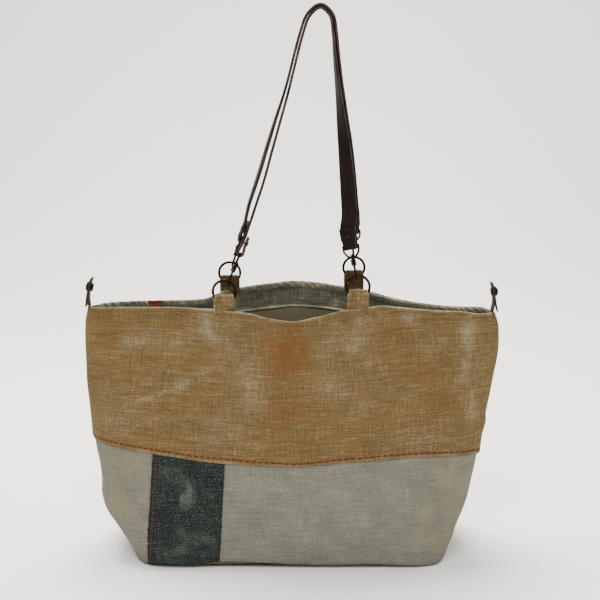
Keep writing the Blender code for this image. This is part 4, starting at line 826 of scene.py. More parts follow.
def lower_panel(name, side, finish, slot, node, left, right, tones, columns):
    """One lower panel between two slanting edges; each edge rolls in at its seam."""
    steps = np.concatenate([[0.0], np.linspace(0.0, 1.0, 66)[1:] ** 1.15])
    grid_across = []
    for step in steps:
        z = step * PATCH_RISE
        ends = [0.0 if left is None else across_of(side, seam_x(left, z), z),
                1.0 if right is None else across_of(side, seam_x(right, z), z)]
        grid_across.append(np.linspace(ends[0], ends[1], columns))
    across = np.array(grid_across)
    reach = hem_height(side, across) + 0.0042
    heights = steps[:, None] * reach / rim_height(side, across)
    flat = on_body(side, across, heights)
    run = cloth_run(side, across, heights)
    seams = [edge for edge in (left, right) if edge]
    out = lower_relief(side, flat, reach, seams)
    washed, warm = wash(tones, flat)
    # Painted shade: darker in the seams' furrows, at the side seams, under the tan hem's edge and along the
    # bottom where the bag meets the floor.
    painted_shade_and_soil = np.zeros_like(across)
    for edge in seams:
        painted_shade_and_soil += 0.35 * np.exp(-(np.abs(flat[..., 0] - seam_x(edge, flat[..., 2])) / 0.0012) ** 2)
    seam = np.minimum(across, 1.0 - across) * 0.55
    out -= 0.0012 * np.exp(-(seam / 0.0022) ** 2)
    painted_shade_and_soil += 0.25 * np.exp(-(seam / 0.003) ** 2)
    painted_shade_and_soil += 0.30 * np.exp(-((reach - 0.0042 - flat[..., 2]) / 0.0016) ** 2)
    painted_shade_and_soil += 0.35 * np.exp(-(flat[..., 2] / 0.0022) ** 2)
    made = on_body(side, across, heights, out)
    made[..., 2] += base_lift(side, made) + 0.0004
    turned_in = made[0].copy()
    turned_in[:, 1] += 0.0016 if side == "front" else -0.0016
    turned_in[:, 0] *= 0.994
    turned_in[:, 2] -= 0.0002
    made[0] = turned_in
    tone = np.stack([washed, warm + 0.15, painted_shade_and_soil], axis=-1)
    mesh = sewn_mesh(name, made, np.stack([run, flat[..., 2]], axis=-1), tone, side == "back")
    piece(name, mesh, finish, "bag", slot, node)


lower_panel("front_left_grey_linen", "front", grey_linen, "grey_linen", "front_lower_left_panel",
            None, PATCH_LEFT, LOWER_TONES, 71)
lower_panel("charcoal_linen_patch", "front", charcoal_linen, "charcoal_linen", "charcoal_patch",
            PATCH_LEFT, PATCH_RIGHT, CHARCOAL_TONES, 61)
lower_panel("front_right_grey_linen", "front", grey_linen, "grey_linen",
            "front_lower_right_panel", PATCH_RIGHT, None, LOWER_TONES, 201)
lower_panel("back_grey_linen", "back", grey_linen, "grey_linen", "back_lower_panel",
            None, None, LOWER_TONES, 281)

# A machine stitch in dark crimson runs down the patch beside its left seam, up from the
# base and on over the tan hem to the red running stitch.
CRIMSON_LINE = ((0.1425, -0.1580), (0.0846, -0.1603), (0.0389, -0.1630), (0.0060, -0.1655))


def crimson_row(name, low, high, seed):
    z = np.linspace(high, low, 400)
    x = np.interp(-z, [-point[0] for point in CRIMSON_LINE], [point[1] for point in CRIMSON_LINE])
    across = np.array([across_of("front", px, pz) for px, pz in zip(x, z)])
    heights = z / rim_height("front", across)
    reach = hem_height("front", across) + 0.0042
    flat = on_body("front", across, heights)
    off = lower_relief("front", flat, reach, [PATCH_LEFT, PATCH_RIGHT])
    if low > PATCH_RISE:
        off = 0.0015 + upper_relief("front", across, heights)
    path = on_body("front", across, heights, off)
    lift = on_body("front", across, heights, off + 0.001) - path
    path[:, 2] += base_lift("front", path) + 0.0004
    lift /= np.linalg.norm(lift, axis=1, keepdims=True)
    stitches(name, path, lift, crimson_thread, 0.0031, 0.0006, 0.00046, seed)


crimson_thread = thread("crimson_thread", paint(104, 22, 34))
crimson_row("crimson_patch_stitch", 0.0040, 0.1318, 8)
crimson_row("crimson_hem_stitch", 0.1330, 0.1380, 9)


# The base: one grey linen oval sewn to the lower panels, flat where the bag stands on it and
# lifted with their edge. Its seam is turned inwards.
def base_cloth():
    across = np.linspace(0.0, 1.0, 161)
    edges = []
    for side in ("front", "back"):
        edge = on_body(side, across, 0.0)
        edge[:, 2] = base_lift(side, edge) + 0.0003
        inwards = -0.0012 if side == "back" else 0.0012
        edge[:, 1] += inwards
        edge[:, 0] *= 0.994
        edges.append(edge)
    share = np.linspace(0.0, 1.0, 41)[:, None, None]
    points = edges[0][None] * (1 - share) + edges[1][None] * share
    settle = np.minimum(share, 1 - share)[..., 0] * 2
    points[..., 2] *= np.clip(1.0 - settle * 2.2, 0.0, 1.0)
    points[..., 2] += 0.0003
    tone = np.zeros(points.shape)
    tone[..., 1] = 0.3
    tone[..., 2] = 0.12
    mesh = sewn_mesh("base_grey_linen", points, points[..., :2].copy(), tone)
    piece("base_grey_linen", mesh, grey_linen, "bag", "grey_linen", "base_panel")


base_cloth()


# The facing: a band of stone-washed green-grey linen, about 30 mm deep, sewn inside the rim.
# Its top edge is gathered into small slanting puckers, tightest at the back's left, and its
# lower edge is turned under and stitched down over the lining.
FACING_DEPTH = 0.030
FACING_TURN = ((0.0050, -0.0019), (0.0022, -0.0020), (0.0013, -0.0023), (0.0010, -0.0028),
               (0.0013, -0.0035), (0.0024, -0.0039), (0.0038, -0.0039))
FACING_HEM = ((0.0288, -0.0040), (0.0294, -0.0046), (0.0301, -0.0047), (0.0307, -0.0042),
              (0.0308, -0.0034), (0.0300, -0.0030), (0.0270, -0.0029))
GATHERED = {"front": ((0.0, 0.7), (0.15, 0.5), (1.0, 0.5)),
            "back": ((0.0, 1.0), (0.14, 1.0), (0.20, 0.25), (0.34, 0.15), (0.42, 0.6), (0.55, 0.6),
                     (0.62, 0.2), (0.84, 0.25), (0.90, 0.9), (1.0, 1.0))}


ROLLED = {"front": ((0.0, 0.0), (1.0, 0.0)),
          "back": ((0.0, 0.6), (0.06, 1.0), (0.56, 1.0), (0.64, 0.3), (1.0, 0.2))}


def facing_relief(side, spread, drops):
    """How far the facing stands into the bag, with its puckers' ridges and how gathered and
    how near the top each point is."""
    run = cloth_run(side, spread, (rim_height(side, spread) - drops) / rim_height(side, spread))
    gather = np.interp(spread, *zip(*GATHERED[side]))
    slant = run / 0.0105 - drops / 0.0062 + 0.7 * value_noise(run / 0.02, run * 0, 9)
    ridge = np.abs(np.sin(math.pi * slant)) ** 0.8
    near_top = np.exp(-(np.maximum(drops - 0.0035, 0.0) / 0.0032) ** 2)
    relief = 0.0013 * (ridge - 0.55) * gather * near_top
    relief += 0.0005 * value_noise(run / 0.022, drops / 0.012, 12)
    relief += 0.0004 * np.exp(-((drops - 0.0072) / 0.0010) ** 2)
    hem_wave = np.sin(2 * math.pi * run / 0.0085 + 2.0 * value_noise(run / 0.03, run * 0, 13))
    relief += 0.00022 * hem_wave * np.exp(-np.abs(drops - 0.028) / 0.003)
    return relief, run, ridge, gather, near_top


def facing_place(side, spread, drops, outs):
    """Points of the facing, which rolls out over the rim at the back's left."""
    rolled = np.interp(spread, *zip(*ROLLED[side])) * np.exp(-(drops / 0.0030) ** 4)
    top = rim_height(side, spread)
    heights = (top - drops + 0.0018 * rolled) / top
    relief = facing_relief(side, spread, drops)[0]
    return on_body(side, spread, heights, outs - relief + 0.0016 * rolled)


def facing_band(side):
    across = np.linspace(0.0, 1.0, 381)
    top = rim_height(side, across)
    drops = [down for down, _ in FACING_TURN] + list(np.linspace(0.0052, 0.0278, 16))
    outs = [out for _, out in FACING_TURN] + [-0.0036] * 16
    drops += [down for down, _ in FACING_HEM]
    outs += [out for _, out in FACING_HEM]
    drops = np.array(drops)[:, None] * np.ones_like(across)
    outs = np.array(outs)[:, None] * np.ones_like(across)
    spread = np.broadcast_to(across, drops.shape)
    relief, run, ridge, gather, near_top = facing_relief(side, spread, drops)
    seam_line = np.exp(-((drops - 0.0072) / 0.0010) ** 2)
    points = facing_place(side, spread, drops, outs)
    # The puckers' crests are paled with a painted highlight and their grooves darkened with painted shade; the
    # fold at the top and the turned-under hem's edge are paled partly by wear and partly by a painted highlight,
    # and a band of painted shade lies along the seam line about 7 mm down. The mottling is the cloth's own.
    groove = (1.0 - ridge) * gather * near_top
    washed = 1.1 * np.clip(ridge - 0.40, 0, 1) * gather * near_top
    washed += 2.4 * np.exp(-((drops - 0.0299) / 0.0010) ** 2)
    washed += 0.5 * np.clip(value_noise(run / 0.014, drops / 0.010, 15), 0.0, 1.0)
    washed += 0.5 * np.exp(-((drops - 0.0010) / 0.0008) ** 2) * np.clip(1.2 - gather, 0.2, 1.0)
    dark = 0.75 * groove + 0.55 * np.exp(-((drops - 0.0075) / 0.0018) ** 2) * (0.5 + 0.5 * gather)
    dark += 0.35 * np.clip(value_noise(run / 0.018, drops / 0.012, 16), 0.0, 1.0)
    painted_shade_and_soil = 0.62 * groove
    painted_shade_and_soil += 0.25 * seam_line
    tone = np.stack([washed, dark, painted_shade_and_soil], axis=-1)
    mesh = sewn_mesh(f"{side}_facing_linen", points, np.stack([run, -drops], axis=-1), tone,
                     side == "back")
    piece(f"{side}_facing_linen", mesh, facing_linen, "bag", "facing_linen", "facing")


def facing_line(side, start, end, drop, out=-0.0040):
    """A line along the facing's inner face and the way into the bag."""
    across = np.linspace(start, end, 1200)
    drops = np.full_like(across, drop)
    path = facing_place(side, across, drops, out)
    lift = facing_place(side, across, drops, out - 0.001) - path
    return path, lift / np.linalg.norm(lift, axis=1, keepdims=True)


dark_thread = thread("dark_green_thread", paint(58, 56, 44))
for side in ("front", "back"):
    facing_band(side)
    path, lift = facing_line(side, 0.01, 0.99, 0.0322, -0.0038)
    stitches(f"{side}_facing_hem_stitch", path, lift, dark_thread, 0.0028, 0.0011, 0.00032, 14)

# A scrap of red-striped selvedge caught in the facing near the back's left corner: two short
# woven bars, side by side.
selvedge_red = thread("selvedge_red_thread", paint(104, 30, 22), 0.9)
for name, start, end, drop in (("selvedge_bar_upper", 0.142, 0.176, 0.0022),
                               ("selvedge_bar_lower", 0.145, 0.179, 0.0052)):
    across = np.linspace(start, end, 40)
    rows = np.array([facing_place("back", across, np.full_like(across, drop + step), -0.0044)
                     for step in np.linspace(-0.0011, 0.0011, 6)])
    mesh = sewn_mesh(name, rows, rows[..., [0, 2]].copy(), np.zeros(rows.shape), False)
    piece(name, mesh, selvedge_red, "bag")


# The lining: a plain taupe linen bag inside, smoother than the outer cloth. It hangs from
# under the facing's hem and has a floor of its own, in soft slack folds.
def lining_wall(side):
    across = np.linspace(0.0, 1.0, 201)
    top = rim_height(side, across)
    steps = np.linspace(0.0, 1.0, 61)[:, None]
    floor = 0.0034
    z = floor + steps * (top - 0.0275 - floor)
    spread = np.broadcast_to(across, z.shape)
    heights = z / top
    run = cloth_run(side, spread, heights)
    flat = on_body(side, spread, heights)
    slack = 0.0012 * value_noise(run / 0.035, z / 0.09, 21) - 0.0004
    slack += 0.0004 * value_noise(run / 0.012, z / 0.030, 22)
    slack *= np.clip((top - 0.0275 - z) / 0.02, 0.0, 1.0)
    tuck = np.clip(1.0 - z / 0.012, 0.0, 1.0)
    under_facing = 0.0012 * np.clip((0.0355 - (top - z)) / 0.0050, 0.0, 1.0)
    points = on_body(side, spread, heights, under_facing - 0.0042 - tuck * 0.0020 + slack)
    points[..., 2] = np.maximum(points[..., 2], floor - 0.0004)
    tone = np.zeros(points.shape)
    # Painted shade: the lining darkens towards the floor of the bag.
    tone[..., 1] = 0.25
    tone[..., 2] = 0.20 * np.clip(1.0 - z / 0.2, 0.0, 1.0)
    mesh = sewn_mesh(f"{side}_lining_linen", points, np.stack([run, z], axis=-1), tone,
                     side == "back")
    piece(f"{side}_lining_linen", mesh, taupe_linen, "bag", "taupe_linen", "lining")
    return points[0]


def lining_floor(front_edge, back_edge):
    share = np.linspace(0.0, 1.0, 41)[:, None, None]
    points = front_edge[None] * (1 - share) + back_edge[None] * share
    x, y = points[..., 0], points[..., 1]
    points[..., 2] = 0.0031 + 0.0008 * (value_noise(x / 0.05, y / 0.04, 24) + 1.0) * (
        np.minimum(share, 1 - share)[..., 0] * 2)
    tone = np.zeros(points.shape)
    # Painted shade darkens the lining's floor.
    tone[..., 1:] = (0.25, 0.25)
    mesh = sewn_mesh("lining_floor_linen", points, points[..., :2].copy(), tone, True)
    piece("lining_floor_linen", mesh, taupe_linen, "bag", "taupe_linen", "lining")


lining_floor(lining_wall("front"), lining_wall("back"))

# The strap loops: four short strips of the tan linen, edges folded in to meet along the
# middle, each doubled over a ring and sewn in between the rim and the facing.
RING_RADIUS = 0.01275
RING_WIRE = 0.00155
LOOP_WIDTH = 0.0240
LOOP_TOP_WIDTH = 0.0196
LOOP_THICKNESS = 0.0013
LOOP_TUCK = 0.0040
METAL_GAP = 0.0003
CORNERS = ("front_left", "front_right", "back_left", "back_right")
# The loops' pale colour serves both their washed edges and the painted highlight on their tops.
loop_linen = linen("tan_loop_linen", paint(79, 61, 36), paint(112, 90, 59), paint(138, 118, 87),
                   paint(178, 161, 125), paint(95, 69, 38), 1.2)
joints = {joint["name"]: joint for joint in frame["record"]["behaviour"]["joints"]}


def middle_of(node):
    low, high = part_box(node)
    return (Vector(low) + Vector(high)) / 2


def corner_frame(corner):
    """A corner's ring centre and its hook's frame: bend, axis and the way out of the bag."""
    swivel = joints[f"swivel_{corner}"]
    up = Vector(swivel["axis"]).normalized()
    sign = -1.0 if corner.startswith("front") else 1.0
    outwards = Vector((0.0, sign, 0.0))
    outwards = (outwards - up * outwards.dot(up)).normalized()
    return {"ring": middle_of(f"ring_{corner}"), "bend": Vector(swivel["pos_m"]), "up": up,
            "out": outwards, "sign": sign}


places = {corner: corner_frame(corner) for corner in CORNERS}


def strip(path, sideways, widths, thickness, flat=9, edge=5):
    """Cross-sections of a flat strip with rounded edges: its points, each one's place across
    and through the strip from -1 to 1, and the run along it."""
    path = np.asarray(path, float)
    tangents = np.gradient(path, axis=0)
    tangents /= np.linalg.norm(tangents, axis=1, keepdims=True)
    aside = np.asarray(sideways, float)
    aside = aside - tangents * np.sum(aside * tangents, axis=1, keepdims=True)
    aside /= np.linalg.norm(aside, axis=1, keepdims=True)
    face = np.cross(tangents, aside)
    half_w = np.broadcast_to(np.asarray(widths, float), len(path))[:, None] / 2
    half_t = np.broadcast_to(np.asarray(thickness, float), len(path))[:, None] / 2
    a = np.linspace(-1.0, 1.0, flat)
    turn = np.linspace(-math.pi / 2, math.pi / 2, edge + 2)[1:-1]
    across = np.concatenate([a, np.ones(edge), a[::-1], -np.ones(edge)])
    bulge = np.concatenate([a * 0, np.cos(turn), a * 0, np.cos(turn)]) - 1.0
    bulge = np.where(np.concatenate([np.ones(flat), np.zeros(edge)] * 2) > 0, -1.0, bulge)
    through = np.concatenate([a * 0 - 1.0, np.sin(turn), a * 0 + 1.0, -np.sin(turn)])
    reach = across * (half_w - half_t * 0.7) + np.sign(across) * (bulge + 1.0) * half_t * 0.7
    points = (path[:, None] + reach[..., None] * aside[:, None]
              + (through * half_t)[..., None] * face[:, None])
    run = np.concatenate([[0.0], np.cumsum(np.linalg.norm(np.diff(path, axis=0), axis=1))])
    return points, across, through, face, run, reach


def strip_mesh(name, points, cloth, tone):
    """A closed strip's cross-sections as a mesh with both ends shut."""
    mesh = sewn_mesh(name, points, cloth, tone, closed=True)
    mesh.set_sharp_from_angle(angle=math.radians(70))
    return mesh


def eased(points, rounds=3):
    """Cuts the corners of a path, again and again, so that it bends smoothly."""
    points = np.asarray(points, float)
    for _ in range(rounds):
        near = points[:-1] * 0.75 + points[1:] * 0.25
        far = points[:-1] * 0.25 + points[1:] * 0.75
        points = np.concatenate([points[:1], np.stack([near, far], 1).reshape(-1, 3), points[-1:]])
    return points


def strap_loop(corner):
    place = places[corner]
    low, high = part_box(f"loop_{corner}")
    hug = RING_WIRE + METAL_GAP + LOOP_THICKNESS / 2
    foot = LOOP_THICKNESS / 2 + METAL_GAP
    centre = place["ring"]
    base = low[2] - LOOP_TUCK
    spring = high[2] - LOOP_THICKNESS / 2 - hug
    path = [(centre.x, centre.y - foot, base), (centre.x, centre.y - foot, base + LOOP_TUCK),
            (centre.x, centre.y - foot, base + LOOP_TUCK + 0.0015),
            (centre.x, centre.y - hug, (low[2] + spring) / 2 + 0.001)]
    for angle in np.linspace(0.0, math.pi, 13):
        path.append((centre.x, centre.y - hug * math.cos(angle), spring + hug * math.sin(angle)))
    path += [(x, 2 * centre.y - y, z) for x, y, z in reversed(path[:4])]
    path = spaced(eased(path, 2), 72)
    rise = np.clip((path[:, 2] - spring + 0.003) / (hug + 0.003), 0.0, 1.0)
    widths = LOOP_WIDTH + (LOOP_TOP_WIDTH - LOOP_WIDTH) * rise ** 1.5
    points, across, through, face, run, reach = strip(
        path, np.tile([1.0, 0.0, 0.0], (len(path), 1)), widths, LOOP_THICKNESS, flat=61)
    outer = np.broadcast_to((through < -0.99), reach.shape)
    off_middle = np.abs(reach)
    relief = 0.00030 * np.exp(-((off_middle - 0.0007) / 0.0005) ** 2)
    relief -= 0.00045 * np.exp(-(off_middle / 0.0003) ** 2)
    gathers = np.sin(reach / 0.0032 * 2 * math.pi + 0.8) * rise[:, None] * 0.00028
    swell = 0.00022 * np.exp(-((np.abs(across) - 0.86) / 0.12) ** 2)
    seed = 40 + CORNERS.index(corner)
    slack = 0.0004 * value_noise(run[:, None] / 0.009, reach / 0.006, seed)
    points = points - face[:, None] * ((relief + swell) * outer + gathers + slack)[..., None]
    inward = np.clip((path[:, 1] - centre.y) * -place["sign"] / hug * 1.5, 0.0, 1.0)[:, None]
    # The loop's top is paled partly by wear and partly by a painted highlight; its inner ply is darkened by
    # painted shade and soil, and the middle seam's groove by painted shade.
    washed = 1.1 * np.exp(-((off_middle - 0.0006) / 0.0006) ** 2) * outer
    washed += 0.9 * np.clip((np.abs(across) - 0.90) / 0.1, 0.0, 1.0)
    washed += (0.25 + 0.35 * rise[:, None]) * (1.0 - inward)
    warm = 0.05 + 0.65 * inward + 0.0 * across
    painted_shade_and_soil = 0.10 + 0.45 * inward + 0.35 * np.exp(-(off_middle / 0.00025) ** 2) * outer
    tone = np.stack(np.broadcast_arrays(washed * (1.0 - 0.6 * inward), warm, painted_shade_and_soil), axis=-1)
    cloth = np.stack(np.broadcast_arrays(reach, run[:, None]), axis=-1)
    mesh = strip_mesh(f"linen_loop_{corner}", points, cloth, tone)
    piece(f"linen_loop_{corner}", mesh, loop_linen, "bag", "tan_linen", f"loop_{corner}")


for corner in CORNERS:
    strap_loop(corner)


# The rings: round bronze wire, closed with a butt joint, free to turn in their loops. The
# bronze is patinated almost black and rubbed back to brass where it is handled.
def bronze(name, dark, bright, wear):
    f = Finish(name, Metallic=0.70, Specular_IOR_Level=0.15, Specular_Tint=(0.18, 0.16, 0.13, 1.0))
    spot = f.node("ShaderNodeTexCoord", {}, out=3)
    cloud = f.noise(spot, 210.0, 3.0, 0.6)
    fine = f.noise(spot, 1400.0, 2.0)
    rubbed = f.maths("MULTIPLY_ADD", cloud * 0.7 + fine * 0.3 - (1.0 - wear), 5.0, 0.0, clamp=True)
    colour = f.mix(rubbed, dark, bright)
    rough = f.maths("MULTIPLY_ADD", rubbed, -0.16, 0.44) + fine * 0.10
    return f.drive(Base_Color=colour, Roughness=rough, Normal=f.bump(fine, 0.00008, 0.4))


antique_bronze = bronze("antique_bronze", paint(28, 24, 18), paint(150, 120, 76), 0.43)


def ring(corner):
    centre = places[corner]["ring"]
    angles = np.linspace(0.0, 2 * math.pi, 96, endpoint=False)
    path = [(centre.x + RING_RADIUS * math.sin(a), centre.y, centre.z + RING_RADIUS * math.cos(a))
            for a in angles]
    joint = np.exp(-((angles - 3.4) / 0.022) ** 2)
    shape = tube(path, RING_WIRE * (1.0 - 0.16 * joint), 18, closed=True)
    piece(f"bronze_ring_{corner}", joined(f"bronze_ring_{corner}", [shape], 60), antique_bronze,
          "bag", "dark_bronze", f"ring_{corner}")


for corner in CORNERS:
    ring(corner)


# The snap hooks: a cast bronze hook with a forked head, a sprung gate hinged in the fork,
# and an eye that swivels on the hook's post and holds the strap.
HOOK_WIRE = 0.00135
HOOK_BEND = 0.0050
HOOK_NOSE = 0.0092
HEAD_HEIGHT = 0.0175
HEAD_RADIUS = 0.0031
HEAD_WIDTH = 0.0056
HEAD_BACK = -0.0038
SWIVEL_HEIGHT = 0.0226
COLLAR_RADIUS = 0.0033
COLLAR_HEIGHT = 0.0036
POST_RADIUS = 0.00125
EYE_HEIGHT = 0.0375
EYE_WIRE = 0.00125
GATE_THICKNESS = 0.0020
STRAP_END_WIDTH = 0.0156
SWIVEL_GAP = 0.0004


def turned(profile, sides=40):
    """Points and faces turned about Z, from a profile of radius and height."""
    angles = np.linspace(0.0, 2 * math.pi, sides, endpoint=False)
    points, rows = [], []
    for radius, height in profile:
        start = len(points)
        if radius == 0.0:
            points.append((0.0, 0.0, height))
            rows.append([start] * sides)
        else:
            points += [(radius * math.cos(a), radius * math.sin(a), height) for a in angles]
            rows.append(list(range(start, start + sides)))
    faces = []
    for low, high in zip(rows, rows[1:]):
        for i in range(sides):
            j = (i + 1) % sides
            face = [low[i], low[j], high[j], high[i]]
            faces.append(tuple(dict.fromkeys(face)))
    return np.array(points), faces


def slab(outline, low, high, bevel):
    """Points and faces of a flat plate in the Y-Z plane, its edges eased by a bevel."""
    form = bmesh.new()
    verts = [form.verts.new((low, y, z)) for y, z in outline]
    made = bmesh.ops.extrude_face_region(form, geom=[form.faces.new(verts)])
    lifted = [v for v in made["geom"] if isinstance(v, bmesh.types.BMVert)]
    bmesh.ops.translate(form, verts=lifted, vec=(high - low, 0.0, 0.0))
    bmesh.ops.recalc_face_normals(form, faces=form.faces)
    hard = [e for e in form.edges if e.calc_face_angle(0.0) > math.radians(50)]
    bmesh.ops.bevel(form, geom=hard, offset=bevel, segments=2, profile=0.5, affect="EDGES")
    form.verts.index_update()
    points = np.array([v.co[:] for v in form.verts])
    faces = [tuple(v.index for v in f.verts) for f in form.faces]
    form.free()
    return points, faces


def moved(shape, matrix):
    points, faces = shape
    matrix = np.array(matrix)
    points = points @ matrix[:3, :3].T + matrix[:3, 3]
    return points, faces if np.linalg.det(matrix[:3, :3]) > 0 else [f[::-1] for f in faces]


def local_matrix(place, turn=0.0):
    """Matrix whose Z is the swivel's axis and whose Y points out of the bag."""
    y_axis = Matrix.Rotation(turn, 3, place["up"]) @ place["out"]
    x_axis = y_axis.cross(place["up"])
    made = Matrix((x_axis, y_axis, place["up"])).transposed().to_4x4()
    made.translation = place["bend"]
    return made


def disc(centre, radius, start, end, steps):
    return [(centre[0] + radius * math.cos(math.radians(a)),
             centre[1] + radius * math.sin(math.radians(a)))
            for a in np.linspace(start, end, steps)]


def snap_hook(corner):
    bend = [(0.0, y, z) for y, z in disc((0.0, HOOK_BEND), HOOK_BEND, 180, 360, 25)]
    path = np.array([(0.0, -HOOK_BEND, HOOK_NOSE), (0.0, -HOOK_BEND, HOOK_NOSE - 0.0006),
                     (0.0, -HOOK_BEND, HOOK_NOSE - 0.0020)] + bend
                    + [(0.0, HOOK_BEND, 0.0090), (0.0, HOOK_BEND, 0.0125),
                       (0.0, HOOK_BEND - 0.0008, 0.0160), (0.0, 0.0024, 0.0188),
                       (0.0, 0.0, 0.0200), (0.0, -0.0010, 0.0202)])
    path = eased(path, 2)
    thick = np.full(len(path), HOOK_WIRE)
    thick[:4] = HOOK_WIRE * np.array([0.55, 0.85, 0.97, 1.0])
    neck, shoulder = 0.0186, SWIVEL_HEIGHT - SWIVEL_GAP
    post_top = SWIVEL_HEIGHT + COLLAR_HEIGHT + SWIVEL_GAP
    stem = turned([(0.0, neck), (0.0022, neck), (0.0027, neck + 0.0004),
                   (0.0027, shoulder - 0.0003), (0.0024, shoulder), (POST_RADIUS, shoulder),
                   (POST_RADIUS, post_top), (0.0020, post_top), (0.0023, post_top + 0.0003),
                   (0.0021, post_top + 0.0008), (0.0014, post_top + 0.0012),
                   (0.0, post_top + 0.0013)])
    cheek = disc((HEAD_BACK, HEAD_HEIGHT), HEAD_RADIUS, 130, 330, 22)
    cheek += [(0.0010, 0.0188), (0.0014, 0.0208), (0.0004, 0.0217), (HEAD_BACK, 0.0213)]
    gap = GATE_THICKNESS / 2 + METAL_GAP
    shapes = [tube(path, thick, 16), stem]
    for way in (-1.0, 1.0):
        shapes.append(slab(cheek, *sorted((way * gap, way * HEAD_WIDTH / 2)), 0.0004))
    bridge = [(HEAD_BACK - 0.0010, 0.0203), (0.0006, 0.0203), (0.0010, 0.0214), (-0.0036, 0.0212)]
    shapes.append(slab(bridge, -HEAD_WIDTH / 2 + 0.0004, HEAD_WIDTH / 2 - 0.0004, 0.0002))
    matrix = local_matrix(places[corner])
    name = f"bronze_hook_{corner}"
    piece(name, joined(name, [moved(shape, matrix) for shape in shapes]), antique_bronze,
          f"hook_{corner}", "dark_bronze", f"hook_{corner}")


def gate(corner):
    """The gate: a knuckle on its pin and a lever that closes on the hook's nose."""
    lever = HEAD_HEIGHT - HOOK_NOSE - METAL_GAP
    lean = 0.6 * math.atan2(-HOOK_BEND - HEAD_BACK, lever)
    half = GATE_THICKNESS / 2
    knuckle = HEAD_RADIUS - 0.0012
    outline = disc((0.0, 0.0), knuckle, -20, 200, 20)
    bar = [(-0.0015, -0.0016), (-0.0015, -lever + 0.0004), (-0.0011, -lever),
           (0.0004, -lever), (0.0007, -lever + 0.0004), (0.0008, -0.0016)]
    turn = Matrix.Rotation(lean, 4, "X")
    bar = [tuple((turn @ Vector((0.0, y, z)))[1:]) for y, z in bar]
    pin = moved(turned([(0.0, -HEAD_WIDTH / 2 - 0.0001), (0.0006, -HEAD_WIDTH / 2 - 0.0001),
                        (0.0007, -HEAD_WIDTH / 2 + 0.0001), (0.0007, HEAD_WIDTH / 2 - 0.0001),
                        (0.0006, HEAD_WIDTH / 2 + 0.0001), (0.0, HEAD_WIDTH / 2 + 0.0001)], 20),
                Matrix.Rotation(math.pi / 2, 4, "Y"))
    shapes = [slab(outline + bar, -half, half, 0.0003), pin]
    matrix = local_matrix(places[corner]) @ Matrix.Translation((0.0, HEAD_BACK, HEAD_HEIGHT))
    name = f"bronze_gate_{corner}"
    piece(name, joined(name, [moved(shape, matrix) for shape in shapes]), antique_bronze,
          f"gate_{corner}", "dark_bronze", f"gate_{corner}")


def swivel_eye(corner, turn):
    half = STRAP_END_WIDTH / 2 + SWIVEL_GAP + EYE_WIRE
    low = SWIVEL_HEIGHT + COLLAR_HEIGHT * 0.6
    bow = [(COLLAR_RADIUS - 0.0008, low), (COLLAR_RADIUS + 0.0009, low),
           (half * 0.70, low + 0.0024), (half * 0.93, low + 0.0056), (half, low + 0.0085),
           (half, EYE_HEIGHT - 0.0016), (half, EYE_HEIGHT), (half - 0.0016, EYE_HEIGHT)]
    path = [(0.0, y, z) for y, z in bow] + [(0.0, -y, z) for y, z in reversed(bow)]
    bore = POST_RADIUS + SWIVEL_GAP
    top = SWIVEL_HEIGHT + COLLAR_HEIGHT
    collar = turned([(bore, SWIVEL_HEIGHT + 0.0002), (bore + 0.0003, SWIVEL_HEIGHT),
                     (COLLAR_RADIUS - 0.0004, SWIVEL_HEIGHT), (COLLAR_RADIUS, SWIVEL_HEIGHT + 0.0005),
                     (COLLAR_RADIUS, top - 0.0005), (COLLAR_RADIUS - 0.0004, top),
                     (bore + 0.0003, top), (bore, top - 0.0002), (bore, SWIVEL_HEIGHT + 0.0002)])
    matrix = local_matrix(places[corner], turn)
    name = f"bronze_eye_{corner}"
    shapes = [moved(tube(eased(path, 3), EYE_WIRE, 14), matrix), moved(collar, matrix)]
    piece(name, joined(name, shapes), antique_bronze, "bag", "dark_bronze", f"eye_{corner}")


# The handles: two straps of dark brown bridle leather, nested back to back over the top and
# opening apart on the way down. Each end folds round its eye and is riveted to itself. The
# faces are finished nearly black; the cut edges show a paler core with a painted highlight
# along them.
STRAP_WIDTH = 0.0185
STRAP_THICKNESS = 0.0031
STRAP_RETURN = 0.0200
STRAP_NOTCH = 0.0080
RIVET_RISE = 0.0125
RIVET_RADIUS = 0.0013
RIVET_HEAD = 0.0031
HANDLE_TOP = 0.6375
HANDLE_RIGHT = 0.0735
HANDLE_HALF_DEPTH = 0.0530
STRAP_STATIONS = 136
STRAP_JOIN = 12
ROUTE_COLUMNS = ("rise", "out", "depth", "apart", "front_turn", "back_turn")
ROUTE = (
    (0.145, -0.655, 0.690, 0.60, 0.0, 6.0),
    (0.280, -0.491, 0.560, 0.62, 0.0, 8.0),
    (0.405, -0.358, 0.400, 0.48, 0.0, 7.0),
    (0.529, -0.224, 0.220, 0.32, 0.0, 4.0),
    (0.653, -0.087, 0.080, 0.08, 0.0, 0.0),
    (0.777, 0.027, 0.000, 0.00, 0.0, 0.0),
    (0.890, 0.137, 0.000, 0.00, 0.0, 0.0),
    (0.962, 0.240, 0.000, 0.00, 0.0, 0.0),
    (1.000, 0.420, 0.000, 0.00, 0.0, 0.0),
    (0.962, 0.590, 0.000, 0.00, 0.0, 0.0),
    (0.890, 0.640, 0.000, 0.00, 2.0, 2.0),
    (0.777, 0.675, 0.010, 0.00, 6.0, 6.0),
    (0.653, 0.722, 0.070, 0.02, 14.0, 14.0),
    (0.529, 0.771, 0.180, 0.10, 28.0, 28.0),
    (0.405, 0.822, 0.330, 0.25, 44.0, 44.0),
    (0.280, 0.863, 0.510, 0.40, 58.0, 58.0),
    (0.155, 0.899, 0.690, 0.60, 66.0, 66.0),
)
route = by_column(ROUTE, ROUTE_COLUMNS)


